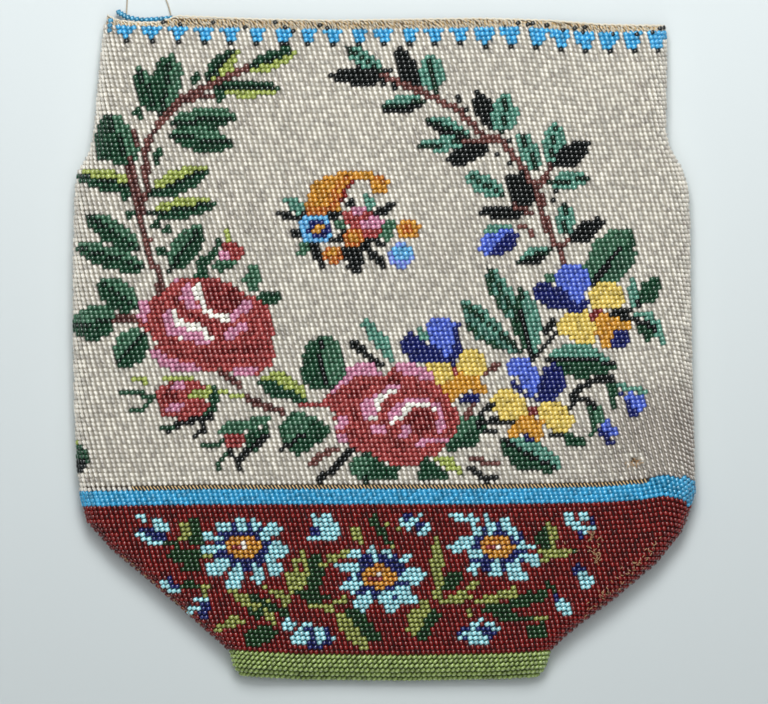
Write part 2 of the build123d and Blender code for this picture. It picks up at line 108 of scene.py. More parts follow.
# How far bead rows dip across the bag at the mouth, at the blue band and at the foot, and the heights over
# which each fades, in pixels
MOUTH_DIP = [(100, -5), (200, -2), (330, 0), (430, -1), (520, -3), (595, 3), (668, 1)]
BAND_DIP = [(75, 3), (200, 0.5), (500, 0), (600, -2), (640, -5), (665, -10), (682, -6), (697, 1)]
BAND_PINCH = [(440, 0), (486, 2), (507, -1.2), (540, 0)]
FOOT_DIP = [(228, -2), (300, 2.5), (400, 3.5), (500, 2), (553, -1)]
MOUTH_FADE, BAND_FADE, FOOT_FADE = (30, 250), (250, 490, 580), (560, 655)
# The loose thread's route from the part's source, in metres
THREAD_ROUTE = [(-0.0712, 0.09075, 0.0009), (-0.0711, 0.094, 0.0005), (-0.0708, 0.098, 0.0002),
                (-0.07, 0.1024, 0.0002), (-0.0668, 0.1058, 0.0002), (-0.063, 0.1028, 0.0002),
                (-0.0606, 0.0978, 0.0002), (-0.0591, 0.094, 0.0005), (-0.0585, 0.09075, 0.0009)]
THREAD_LENGTH, THREAD_DIAMETER = 0.0332, 0.0004

# Bead colours: CAD node, slot, body colour, second tone and painted core light, a highlight painted along
# the hole, as sRGB shares of 255, and roughness
BEAD_COLOURS = {
    "cream": ("cream_beads", "cream_glass", (198, 194, 183), (138, 130, 122), (255, 253, 246), 0.34),
    "blue": ("blue_band", "sky_blue_glass", (48, 152, 200), (20, 112, 150), (112, 200, 236), 0.14),
    "garnet": ("garnet_beads", "garnet_glass", (114, 15, 12), (70, 8, 8), (162, 54, 48), 0.14),
    "base": ("green_base", "pale_green_glass", (144, 166, 88), (114, 136, 62), (210, 228, 166), 0.16),
    "border": ("border_triangles", "sky_blue_glass", (56, 158, 212), (30, 110, 140), (130, 210, 245), 0.14),
    "dark": ("dark_green_leaves", "dark_green_glass", (22, 66, 42), (4, 20, 12), (66, 120, 88), 0.12),
    "mid": ("mid_green_leaves", "mid_green_glass", (52, 96, 70), (32, 70, 50), (118, 162, 136), 0.15),
    "lime": ("yellow_green_leaves", "yellow_green_glass", (150, 164, 78), (112, 132, 60), (196, 206, 130),
             0.15),
    "black": ("black_leaves", "black_glass", (8, 13, 12), (4, 7, 8), (30, 44, 40), 0.12),
    "teal": ("teal_leaves", "teal_glass", (76, 132, 114), (38, 84, 72), (150, 196, 180), 0.13),
    "brown": ("brown_stems", "brown_glass", (104, 60, 54), (62, 30, 28), (150, 106, 98), 0.13),
    "crimson": ("crimson_roses", "crimson_glass", (156, 60, 58), (94, 14, 14), (202, 114, 112), 0.13),
    "pink": ("pink_petals", "pink_glass", (194, 124, 154), (170, 96, 122), (238, 190, 212), 0.15),
    "white": ("white_highlights", "white_glass", (240, 238, 228), (220, 216, 204), (255, 255, 250), 0.16),
    "royal": ("royal_blue_petals", "royal_blue_glass", (76, 100, 200), (46, 66, 160), (140, 164, 244), 0.14),
    "navy": ("navy_petals", "navy_glass", (18, 28, 96), (8, 12, 60), (60, 72, 150), 0.12),
    "yellow": ("yellow_petals", "yellow_glass", (216, 190, 92), (192, 158, 66), (246, 228, 150), 0.15),
    "amber": ("amber_fields", "amber_glass", (196, 138, 38), (166, 78, 26), (238, 190, 104), 0.14),
    "sky": ("sky_blue_flowers", "sky_blue_glass", (88, 166, 214), (112, 126, 206), (150, 210, 240), 0.14),
    "aqua": ("daisy_petals", "aqua_glass", (150, 216, 224), (96, 158, 180), (240, 255, 255), 0.15),
    "olive": ("olive_leaves", "olive_glass", (140, 148, 70), (104, 112, 50), (188, 194, 122), 0.15),
    "forest": ("forest_green_leaves", "forest_glass", (22, 62, 28), (10, 36, 14), (62, 106, 62), 0.12),
}
COLOUR_NAMES = list(BEAD_COLOURS)
NUMBER_OF = {name: number for number, name in enumerate(COLOUR_NAMES)}
# The floor's colour below and above the object, darker below as painted shade and lighter above as painted
# light, the stretch over which it turns and its half width, in metres
FLOOR_SHADED, FLOOR_LIT, FLOOR_SHADE_FROM, FLOOR_HALF = (206, 214, 215), (222, 230, 231), (-0.10, 0.11), 2
# The room's light and its strength, and the lamps: name, place and width in metres, and power in watts
ROOM, ROOM_STRENGTH = (226, 236, 240), 0.1
LAMPS = [
    ("window", (0.0, 0.40, 0.54), 0.30, 3.2),
    ("left_fill", (-0.28, 0.12, 0.95), 0.8, 2.2),
    ("right_fill", (0.34, 0.10, 0.95), 0.8, 2.2),
    ("near_fill", (0.0, -0.6, 0.8), 0.6, 0.8),
]
# The camera's lens and sensor in millimetres, and how far above the floor its picture is to scale, in metres
LENS, SENSOR, SCALE_HEIGHT = 320.0, 36.0, 0.0085

# Leaves in pixels: base, tip, width, colour on the left of the way from base to tip, colour on the right
LEAVES = [
    ((159, 114), (136, 66), 22, "dark", "mid"), ((162, 112), (171, 52), 28, "dark", "mid"),
    ((207, 82), (238, 48), 19, "dark", "lime"), ((247, 69), (297, 50), 18, "dark", "lime"),
    ((212, 87), (282, 90), 16, "dark", "lime"), ((170, 124), (238, 116), 22, "mid", "dark"),
    ((169, 135), (236, 144), 21, "mid", "dark"), ((132, 170), (106, 112), 30, "dark", "mid"),
    ((134, 186), (75, 175), 20, "dark", "lime"), ((150, 194), (210, 168), 22, "lime", "dark"),
    ((148, 214), (217, 203), 19, "lime", "dark"), ((140, 250), (83, 213), 21, "dark", "mid"),
    ((147, 269), (73, 246), 21, "dark", "mid"), ((169, 271), (202, 224), 24, "mid", "dark"),
    ((137, 309), (98, 281), 26, "dark", "mid"), ((117, 318), (70, 328), 31, "dark", "mid"),
    ((146, 331), (115, 366), 30, "dark", "mid"), ((384, 72), (343, 46), 15, "teal", "teal"),
    ((386, 77), (329, 75), 17, "black", "black"), ((418, 90), (396, 45), 19, "black", "black"),
    ((436, 92), (429, 54), 22, "teal", "teal"), ((424, 101), (379, 109), 16, "black", "teal"),
    ((470, 136), (424, 118), 15, "black", "teal"), ((468, 142), (415, 146), 13, "teal", "teal"),
    ((490, 145), (445, 162), 17, "black", "black"), ((494, 130), (476, 90), 17, "black", "black"),
    ((503, 134), (506, 92), 22, "teal", "teal"), ((539, 172), (519, 131), 17, "teal", "teal"),
    ((551, 163), (556, 122), 20, "teal", "teal"), ((554, 167), (590, 141), 19, "black", "black"),
    ((549, 183), (592, 178), 16, "teal", "teal"), ((533, 206), (506, 173), 22, "black", "black"),
    ((527, 213), (477, 212), 13, "black", "black"), ((502, 194), (466, 174), 18, "teal", "teal"),
    ((564, 236), (566, 202), 18, "teal", "teal"), ((570, 241), (605, 219), 17, "black", "black"),
    ((553, 249), (516, 263), 14, "black", "teal"), ((590, 285), (630, 227), 36, "mid", "dark"),
    ((640, 303), (660, 277), 16, "dark", "dark"), ((633, 303), (633, 277), 9, "teal", "teal"),
    ((533, 356), (520, 286), 24, "dark", "teal"), ((545, 360), (618, 366), 26, "teal", "dark"),
    ((500, 440), (562, 469), 26, "teal", "dark"), ((484, 416), (448, 447), 24, "dark", "mid"),
    ((330, 388), (330, 346), 28, "dark", "mid"), ((366, 482), (366, 452), 28, "mid", "dark"),
]
LEAF_EDGE_SHARES = [(0.16, 0.42), (0.5, 0.6), (0.84, 0.36)]
RIB_WIDTH, RIB_SHARE = 4.0, 0.9

# The pattern in pixels, lowest first: colour, tone from 0 to 1, size and one or more lists of points, each
# written x, y, x, y. Size 0 is a filled field, one number is a stroke of that width or a round dot, and two
# numbers are an oval's width and height.
LEFT_BRANCH = [
    ("dark", 0.3, 0, [97, 128, 107, 113, 112, 140, 120, 162, 96, 162, 94, 150]),
    ("dark", 0.2, 10, [195, 78], [139, 113], [219, 96], [159, 152]), ("dark", 0.2, 9, [157, 161]),
    ("dark", 0.2, 10, [125, 197]), ("dark", 0.2, 9, [129, 215]), ("dark", 0.2, 10, [157, 226]),
    ("dark", 0.2, 9, [166, 230]), ("dark", 0.2, 10, [161, 250]), ("dark", 0.1, 12, [201, 282, 203, 262]),
    ("brown", 0.2, 6.8, [248, 68, 228, 76, 206, 86, 184, 98, 166, 116, 152, 134, 146, 150, 145, 170, 147, 190,
     141, 203, 140, 222, 147, 240, 150, 258, 158, 272, 161, 292]),
    ("brown", 0.6, 7, [129, 160, 132, 180, 137, 200, 140, 212]),
    ("brown", 0.6, 5, [215, 94, 183, 101], [135, 132, 137, 145]), ("brown", 0.4, 6, [115, 319, 138, 319]),
    ("lime", 0, 5, [227, 228, 229, 242]), ("dark", 0, 6, [210, 258, 218, 243]),
    ("mid", 0, 7, [213, 266, 235, 262]), ("dark", 0, 5, [222, 270, 232, 266]),
    ("crimson", 0.3, (23, 20), [231, 252]), ("pink", 0, (15, 9), [223, 255]),
    ("mid", 0, 0, [243, 280, 248, 267, 257, 266, 261, 280, 256, 293, 249, 292]),
    ("dark", 0.3, 0, [254, 300, 264, 292, 282, 293, 278, 302, 264, 306]),
]
UPPER_ROSE = [
    ("crimson", 0.1, 0, [139, 318, 141, 304, 152, 297, 166, 291, 172, 282, 182, 276, 197, 279, 219, 279,
     233, 284, 243, 293, 264, 302, 271, 314, 274, 334, 270, 342, 274, 358, 269, 368, 256, 375, 238, 372,
     206, 370, 172, 370, 160, 362, 151, 351, 157, 341, 140, 325]),
    ("crimson", 0.7, 0, [201, 283, 222, 285, 233, 286, 244, 298, 238, 308, 225, 314, 210, 306, 203, 300]),
    ("crimson", 0.9, 5, [174, 297, 190, 316, 206, 327, 212, 338]), ("crimson", 0.7, 4, [163, 300, 162, 330]),
    ("crimson", 1.0, 0, [226, 287, 234, 286, 245, 297, 240, 307, 228, 311, 223, 300]),
    ("crimson", 0.9, (9, 8), [174, 343]), ("crimson", 0.9, 7, [200, 352, 256, 350]),
    ("crimson", 0.6, 5, [172, 352, 196, 359, 244, 361]), ("crimson", 0.7, 5, [214, 318, 224, 328, 218, 346]),
    ("crimson", 0.5, 5, [252, 312, 252, 330, 244, 342], [258, 340, 262, 360]),
    ("pink", 0, 0, [181, 285, 194, 285, 197, 303, 204, 311, 190, 309, 179, 300]),
    ("pink", 0.2, 0, [138, 303, 150, 299, 150, 312, 148, 321, 138, 320]),
    ("pink", 0, 0, [162, 313, 170, 311, 172, 322, 185, 327, 200, 333, 212, 341, 214, 347, 200, 344, 180, 338,
     166, 335]),
    ("pink", 0.1, 0, [214, 322, 230, 317, 245, 301, 251, 297, 252, 308, 240, 316, 228, 325], [226, 330,
     240, 324, 250, 321, 247, 330, 236, 337, 228, 341, 222, 337]),
    ("pink", 0.3, 0, [150, 350, 160, 352, 172, 359, 188, 364, 208, 368, 190, 373, 168, 369, 157, 363]),
    ("pink", 0.2, 0, [230, 368, 257, 368, 253, 377, 238, 376]), ("pink", 0.2, 7, [178, 280]),
    ("white", 0, 5.4, [196, 286, 198, 296, 201, 303, 206, 310, 212, 314, 219, 316]),
    ("white", 0, 5, [229, 317, 223, 322], [166, 309], [179, 337], [173, 312, 174, 318, 176, 322, 182, 323],
     [186, 327, 193, 324, 199, 323], [187, 331, 206, 331], [205, 336, 213, 340]),
]
LOWER_ROSE = [
    ("brown", 0.5, 5, [220, 370, 228, 378, 238, 386]),
    ("brown", 0.4, 7, [246, 397, 258, 404, 270, 408, 284, 412]),
    ("dark", 0, 0, [302, 372, 303, 352, 312, 340, 322, 337, 323, 375, 330, 387, 312, 389, 304, 382]),
    ("mid", 0, 0, [322, 338, 332, 336, 341, 344, 345, 358, 343, 374, 336, 383, 329, 383, 322, 372]),
    ("black", 0, 4.4, [320, 343, 321, 370, 328, 385]), ("black", 0, 8, [352, 344, 364, 351]),
    ("black", 0, 6, [364, 351, 380, 366]),
    ("teal", 0, 0, [361, 325, 368, 318, 376, 329, 386, 338, 391, 350, 393, 364, 383, 356, 372, 342]),
    ("mid", 0, 0, [354, 455, 372, 455, 377, 462, 372, 472, 360, 481, 353, 470]),
    ("dark", 0, 0, [372, 458, 382, 462, 398, 468, 400, 478, 372, 481, 366, 474]),
    ("lime", 0, 0, [432, 458, 450, 457, 462, 470, 467, 480, 455, 473, 440, 465]),
    ("dark", 0, 0, [418, 463, 428, 458, 440, 466, 452, 479, 420, 481], [310, 421, 325, 423, 330, 432,
     322, 442, 312, 448, 304, 436]),
    ("brown", 0, 6, [310, 465, 320, 456, 332, 450, 338, 449]),
    ("black", 0, 7, [318, 480, 330, 472, 340, 461, 350, 452]), ("crimson", 0.5, 5, [300, 404, 325, 403]),
    ("crimson", 0.1, 0, [322, 403, 326, 395, 335, 385, 345, 378, 352, 368, 362, 364, 374, 366, 385, 378,
     397, 365, 415, 365, 428, 372, 443, 390, 455, 408, 459, 420, 455, 432, 447, 441, 443, 452, 430, 456,
     418, 464, 400, 467, 384, 462, 370, 452, 354, 453, 352, 446, 335, 440, 334, 432, 337, 424, 334, 418,
     343, 416, 330, 410]),
    ("crimson", 0.9, 0, [380, 383, 392, 376, 398, 384, 388, 388]),
    ("crimson", 0.7, 0, [345, 395, 358, 385, 372, 384, 366, 392, 352, 402]),
    ("crimson", 0.8, 5, [352, 410, 360, 422, 372, 438]),
    ("crimson", 0.6, 5, [384, 418, 390, 436, 404, 450], [440, 400, 450, 416, 448, 432]),
    ("crimson", 0.5, 5, [350, 432, 370, 444, 396, 456], [400, 392, 420, 390, 434, 398]),
    ("crimson", 0.8, 0, [404, 420, 412, 410, 425, 409, 434, 416, 438, 426, 430, 434, 418, 437, 409, 432]),
    ("pink", 0.1, 0, [347, 368, 362, 363, 374, 365, 381, 374, 374, 379, 362, 375, 352, 378, 342, 386,
     329, 397, 333, 388, 342, 379], [393, 365, 415, 363, 430, 373, 438, 381, 425, 380, 410, 375, 395, 371]),
    ("pink", 0, 0, [357, 402, 372, 398, 377, 394, 390, 385, 401, 383, 396, 391, 384, 398, 380, 402, 378, 412,
     374, 421, 366, 419, 360, 411], [389, 414, 398, 404, 408, 399, 428, 399, 439, 405, 443, 414, 446, 424,
     441, 433, 435, 428, 440, 415, 432, 405, 412, 405, 402, 413, 396, 421, 391, 424]),
    ("pink", 0.2, 0, [336, 419, 348, 417, 347, 428, 336, 432], [334, 435, 348, 436, 352, 444, 340, 444]),
    ("pink", 0.3, 0, [370, 427, 387, 426, 386, 433, 374, 434]),
    ("pink", 0.2, 0, [399, 427, 409, 427, 410, 440, 400, 440], [412, 443, 425, 437, 448, 438, 446, 443,
     428, 445, 418, 449]),
    ("white", 0, 5.4, [395, 389, 388, 393, 381, 396, 378, 403, 380, 410]),
    ("white", 0, 5, [377, 399, 384, 399], [369, 417, 376, 417], [393, 423, 398, 418, 404, 416], [402, 413,
     408, 409, 411, 406], [410, 405, 427, 405], [434, 411]),
]
HORN = [
    ("teal", 0, 0, [283, 199, 300, 200, 306, 213, 296, 216], [362, 196, 368, 193, 374, 199, 375, 208,
     368, 211]),
    ("mid", 0, 0, [296, 252, 300, 244, 315, 243, 308, 250, 302, 257, 294, 258]),
    ("black", 0, 6, [345, 229, 340, 238, 331, 240]), ("black", 0, 9, [314, 248, 318, 256, 322, 264]),
    ("black", 0, 15, [350, 246, 353, 256, 355, 265]),
    ("black", 0, 8, [362, 240, 366, 248, 374, 255, 383, 265]),
    ("black", 0, 5, [378, 242, 386, 246], [368, 240, 378, 239], [297, 216, 304, 216]),
    ("black", 0, 9, [297, 233]), ("black", 0, 6, [278, 214, 300, 218]),
    ("amber", 0.15, 0, [305, 211, 308, 198, 310, 188, 316, 181, 322, 178, 334, 175, 342, 172, 370, 171,
     378, 175, 387, 178, 389, 185, 384, 193, 372, 193, 369, 179, 352, 179, 346, 186, 343, 195, 343, 203,
     338, 211, 324, 216, 308, 215]),
    ("amber", 0.95, 6, [309, 211, 324, 212, 338, 205, 340, 196]),
    ("amber", 0.7, 6, [330, 200, 336, 188, 348, 177]), ("amber", 0.6, 5, [378, 176, 384, 184]),
    ("garnet", 0.3, 5, [352, 181, 345, 189, 342, 198]),
    ("black", 0, 0, [396, 203, 383, 205, 375, 212, 376, 218, 386, 217, 392, 210]),
    ("black", 0, (9, 9), [350, 203]), ("black", 0, (15, 8), [333, 215]), ("mid", 0, (12, 10), [338, 224]),
    ("mid", 0, 0, [384, 221, 396, 221, 393, 232, 391, 240, 379, 240, 381, 230]),
    ("crimson", 0.2, 0, [343, 213, 352, 207, 372, 211, 383, 221, 380, 232, 374, 239, 360, 237, 352, 230,
     344, 223]),
    ("pink", 0.1, 0, [351, 206, 366, 206, 362, 214, 352, 216], [360, 220, 380, 216, 384, 222, 376, 229,
     360, 229]),
    ("sky", 0, (34, 30), [316, 229]), ("navy", 0.1, (22, 21), [318, 229]),
    ("amber", 0.1, (12, 11), [318, 229]), ("amber", 0.9, (19, 19), [353, 238]),
    ("amber", 0.1, (10, 10), [353, 237]), ("amber", 0.9, (21, 18), [334, 254]),
    ("amber", 0.1, (11, 9), [333, 253]), ("amber", 0.2, (24, 22), [408, 229]),
    ("amber", 1.0, (13, 11), [408, 229]), ("sky", 0.9, (24, 25), [400, 256]),
    ("sky", 0, (22, 15), [402, 252]),
]
RIGHT_BRANCH = [
    ("black", 0, 6, [459, 99], [448, 107], [466, 109], [511, 140], [498, 155], [511, 162], [523, 171],
     [554, 190], [552, 202], [388, 72], [383, 86], [394, 86], [407, 87]),
    ("brown", 0.1, 6.2, [383, 75, 398, 82, 422, 92, 448, 105, 462, 113, 478, 131, 490, 138, 500, 138,
     506, 147, 522, 165, 529, 177, 541, 198, 542, 210, 550, 234, 558, 247, 566, 265]),
    ("brown", 0.3, 5, [463, 141, 496, 140], [551, 165, 545, 177, 538, 187], [518, 226, 527, 227, 533, 237],
     [568, 240, 560, 250], [513, 205, 532, 213]),
    ("teal", 0, 0, [483, 228, 500, 222, 513, 226, 505, 232, 488, 234]),
    ("royal", 0.1, 0, [477, 249, 486, 235, 497, 231, 511, 231, 509, 240, 500, 251, 488, 256]),
    ("navy", 0, 0, [497, 241, 510, 231, 520, 232, 515, 246, 502, 254, 486, 257]),
    ("mid", 0, 0, [593, 274, 597, 255, 604, 243, 615, 238, 620, 232, 631, 229, 627, 245, 616, 252, 606, 268,
     595, 281]),
    ("mid", 0.8, 0, [590, 286, 606, 268, 618, 252, 638, 251, 632, 265, 622, 279, 606, 282]),
    ("black", 0, 5, [593, 284, 606, 267, 620, 250]),
]
PANSIES = [
    ("dark", 0, 0, [508, 314, 518, 309, 524, 325, 530, 346, 520, 334]),
    ("teal", 0, 0, [520, 286, 530, 300, 540, 312, 542, 325, 537, 343, 532, 347, 530, 330, 525, 310]),
    ("black", 0, 5, [520, 310, 525, 325, 533, 359]),
    ("teal", 0.7, 0, [487, 265, 500, 274, 511, 290, 519, 308, 521, 323, 505, 315, 492, 297, 485, 276],
     [462, 300, 478, 305, 494, 318, 509, 336, 521, 352, 500, 351, 480, 341, 465, 328]),
    ("teal", 0.1, 0, [487, 265, 500, 274, 511, 290, 516, 308, 506, 300, 495, 284]),
    ("dark", 0.1, 4, [487, 280, 494, 296, 505, 313]),
    ("teal", 0.1, 0, [463, 300, 478, 306, 492, 318, 507, 336, 520, 350, 504, 342, 486, 328, 472, 316]),
    ("dark", 0.1, 4, [466, 322, 480, 338, 500, 348]),
    ("dark", 0.6, 5, [463, 305, 482, 319, 502, 335, 520, 351], [487, 268, 500, 289, 512, 307, 520, 322]),
    ("black", 0, 5, [559, 333, 553, 336, 546, 345, 533, 358], [551, 318, 552, 325, 545, 332]),
    ("mid", 0.2, (12, 8), [550, 278]),
    ("navy", 0, 0, [532, 288, 540, 283, 552, 285, 570, 290, 590, 300, 588, 311, 555, 311, 540, 305]),
    ("royal", 0, 0, [556, 272, 560, 266, 578, 265, 587, 270, 591, 280, 589, 290, 583, 292, 582, 304, 577, 305,
     566, 290, 557, 287]),
    ("yellow", 0, 0, [589, 297, 595, 283, 604, 280, 615, 281, 623, 291, 623, 302, 617, 310, 600, 311,
     591, 306]),
    ("yellow", 0.1, 0, [558, 323, 564, 315, 572, 311, 590, 311, 595, 320, 595, 334, 593, 343, 578, 342,
     560, 333]),
    ("navy", 0.1, 0, [611, 331, 631, 329, 628, 341, 624, 350, 613, 350]),
    ("amber", 0.05, 0, [595, 318, 603, 311, 611, 311, 630, 322, 630, 331, 614, 331, 611, 340, 613, 350,
     605, 349, 595, 334]),
    ("crimson", 0.6, 0, [590, 313, 598, 309, 603, 312, 593, 321]),
    ("black", 0, 6, [612, 313, 624, 313, 634, 306, 645, 299]), ("black", 0, 5, [624, 318, 636, 320]),
    ("dark", 0, 0, [659, 276, 661, 290, 656, 300, 645, 305, 637, 298, 645, 288]),
    ("teal", 0, 8, [633, 303, 633, 280]),
    ("teal", 0, 0, [630, 313, 648, 310, 659, 321, 662, 334, 667, 346, 660, 346, 655, 333, 648, 320]),
    ("dark", 0, 0, [636, 322, 645, 320, 655, 329, 652, 342, 645, 343, 640, 333]),
    ("black", 0, 4, [635, 321, 650, 325, 656, 331]),
    ("navy", 0, 0, [399, 345, 403, 335, 412, 331, 420, 338, 428, 343, 447, 353, 452, 330, 458, 322, 463, 345,
     463, 353, 455, 360, 453, 369, 446, 363, 425, 364, 410, 361]),
    ("royal", 0, 0, [427, 326, 433, 318, 450, 317, 455, 325, 453, 345, 448, 359, 438, 348, 430, 345]),
    ("yellow", 0, 0, [455, 367, 460, 355, 468, 348, 476, 349, 486, 359, 485, 373, 478, 379, 465, 377]),
    ("yellow", 0.1, 0, [420, 367, 432, 361, 451, 363, 455, 380, 446, 385, 436, 383]),
    ("amber", 0, 0, [454, 378, 462, 373, 478, 378, 485, 388, 486, 397, 470, 391, 456, 398, 453, 404, 444, 393,
     441, 385]),
    ("navy", 0.1, 0, [455, 404, 466, 391, 483, 397, 478, 405]), ("crimson", 0.7, 9, [455, 372]),
    ("teal", 0, 0, [416, 324, 425, 332, 430, 343, 420, 339], [551, 356, 558, 347, 572, 342, 590, 343,
     598, 350, 605, 358, 619, 366, 600, 361, 585, 357]),
    ("dark", 0, 0, [555, 360, 590, 360, 611, 365, 600, 373, 590, 378, 582, 371, 568, 370]),
    ("black", 0, 4.6, [548, 358, 590, 359, 612, 365]),
    ("royal", 0, 0, [504, 366, 510, 359, 526, 358, 532, 365, 541, 377, 540, 384, 534, 401, 529, 398, 518, 378,
     509, 377]),
    ("navy", 0, 0, [503, 378, 508, 384, 516, 381, 523, 390, 530, 399, 535, 405, 522, 396], [540, 377,
     545, 367, 554, 362, 562, 369, 568, 380, 563, 390, 552, 401, 537, 403, 537, 392]),
    ("yellow", 0, 0, [491, 399, 497, 389, 508, 388, 524, 400, 529, 408, 526, 417, 515, 421, 502, 419,
     494, 409]),
    ("yellow", 0.1, 0, [537, 405, 545, 402, 560, 402, 570, 410, 573, 422, 568, 433, 556, 433, 546, 427,
     540, 415]),
    ("amber", 0, 0, [522, 415, 534, 416, 543, 422, 541, 430, 547, 436, 540, 441, 524, 435, 512, 438, 508, 432,
     514, 424]),
    ("navy", 0.1, 0, [521, 438, 528, 433, 538, 441, 530, 446]), ("crimson", 0.7, (11, 10), [534, 411]),
    ("black", 0, 6, [569, 408, 576, 402, 573, 394, 582, 387, 592, 380, 612, 379]),
    ("black", 0, 5, [577, 400, 584, 398, 600, 412], [551, 434, 560, 434], [478, 425, 493, 420, 513, 422],
     [478, 430, 495, 433], [480, 415, 487, 408, 493, 406]),
    ("dark", 0, 0, [607, 382, 620, 382, 616, 395, 617, 409, 611, 408]), ("teal", 0, 5, [620, 386, 645, 392]),
    ("navy", 0, 0, [619, 391, 626, 396, 640, 412, 641, 417, 630, 418, 628, 410]),
    ("royal", 0, 0, [625, 398, 632, 392, 643, 396, 645, 405, 643, 412, 635, 410]),
    ("mid", 0.2, 0, [591, 415, 600, 407, 607, 418, 598, 425]), ("dark", 0, 5, [591, 410, 594, 425, 592, 435]),
    ("navy", 0, 0, [599, 420, 603, 428, 610, 436, 615, 444, 606, 445, 600, 433]),
    ("royal", 0, 0, [601, 424, 607, 420, 614, 427, 618, 435, 612, 438, 604, 431]),
    ("dark", 0, 0, [560, 437, 570, 433, 582, 437, 591, 441, 585, 447, 572, 448]),
    ("teal", 0, 0, [512, 440, 522, 442, 545, 446, 550, 458, 561, 468, 545, 462, 530, 452]),
    ("dark", 0, 0, [499, 440, 510, 447, 520, 456, 540, 463, 556, 470, 520, 471, 505, 456]),
    ("black", 0, 4.6, [505, 441, 530, 456, 556, 468]),
    ("mid", 0, 0, [449, 438, 458, 427, 470, 416, 478, 414, 474, 428, 462, 437]),
    ("dark", 0, 0, [446, 446, 455, 440, 468, 436, 478, 428, 484, 432, 472, 448, 450, 451]),
    ("brown", 0, 5, [465, 417, 474, 406], [484, 375, 492, 368, 499, 365]),
    ("brown", 0.2, 6, [470, 458, 478, 460, 487, 463, 496, 462]),
    ("black", 0, 6, [471, 470, 478, 475, 485, 480, 495, 478]),
]
LOWER_LEFT = [
    ("dark", 0, 5, [121, 392, 135, 393, 152, 396], [131, 411, 142, 409, 150, 402]),
    ("lime", 0, 5, [132, 378, 140, 379, 146, 383], [165, 377, 190, 377], [222, 391, 230, 395, 243, 397]),
    ("crimson", 0.2, 0, [153, 393, 160, 386, 182, 380, 201, 382, 206, 388, 198, 395, 211, 405, 202, 413,
     190, 419, 172, 419, 160, 413]),
    ("crimson", 0.9, 0, [160, 396, 170, 391, 181, 398, 170, 405]),
    ("pink", 0, 0, [167, 387, 175, 383, 187, 381, 185, 389, 176, 393]),
    ("pink", 0.2, 0, [159, 407, 175, 404, 186, 401, 184, 409, 170, 413]),
    ("lime", 0, 0, [184, 393, 200, 390, 208, 385, 216, 392, 210, 400, 195, 400]),
    ("dark", 0, 0, [212, 385, 220, 389, 218, 405, 212, 419, 200, 419, 209, 408]),
    ("black", 0, 6, [170, 430, 178, 425, 193, 420, 213, 416]),
    ("black", 0, 5, [204, 422, 203, 430, 197, 435]), ("dark", 0, 5, [162, 429, 172, 427]),
    ("crimson", 0.6, 5, [247, 400, 259, 399]), ("brown", 0, 5, [235, 379, 239, 389], [225, 378]),
    ("black", 0, 5, [252, 407]),
    ("dark", 0, 0, [257, 380, 275, 371, 292, 382, 304, 396, 308, 404, 290, 400, 270, 398]),
    ("lime", 0, 0, [262, 379, 272, 370, 286, 372, 300, 384, 308, 398, 290, 390, 276, 382]),
    ("mid", 0, 0, [219, 433, 224, 424, 240, 420, 262, 417, 271, 414, 268, 422, 255, 428, 240, 432, 228, 437]),
    ("dark", 0, 0, [244, 441, 250, 430, 262, 428, 269, 424, 264, 440, 255, 451, 246, 453]),
    ("crimson", 0.3, (20, 17), [234, 441]),
    ("black", 0, 5, [240, 458, 248, 450, 258, 445, 266, 435], [231, 452, 236, 462, 240, 470]),
    ("dark", 0, 5, [205, 446, 215, 446, 222, 442], [217, 467, 222, 458, 228, 452]),
    ("dark", 0, 0, [280, 424, 292, 412, 308, 414, 322, 424, 326, 436, 310, 450, 296, 456, 284, 446]),
    ("mid", 0, 0, [284, 424, 296, 412, 314, 416, 324, 428, 306, 434, 290, 444]),
    ("black", 0, 5, [282, 450, 300, 436, 322, 426]),
    ("dark", 0, 0, [70, 446, 82, 446, 89, 456, 89, 465, 83, 472, 70, 471]),
    ("black", 0, 0, [70, 460, 88, 459, 83, 472, 70, 471]), ("lime", 0.3, 5, [76, 445]),
]
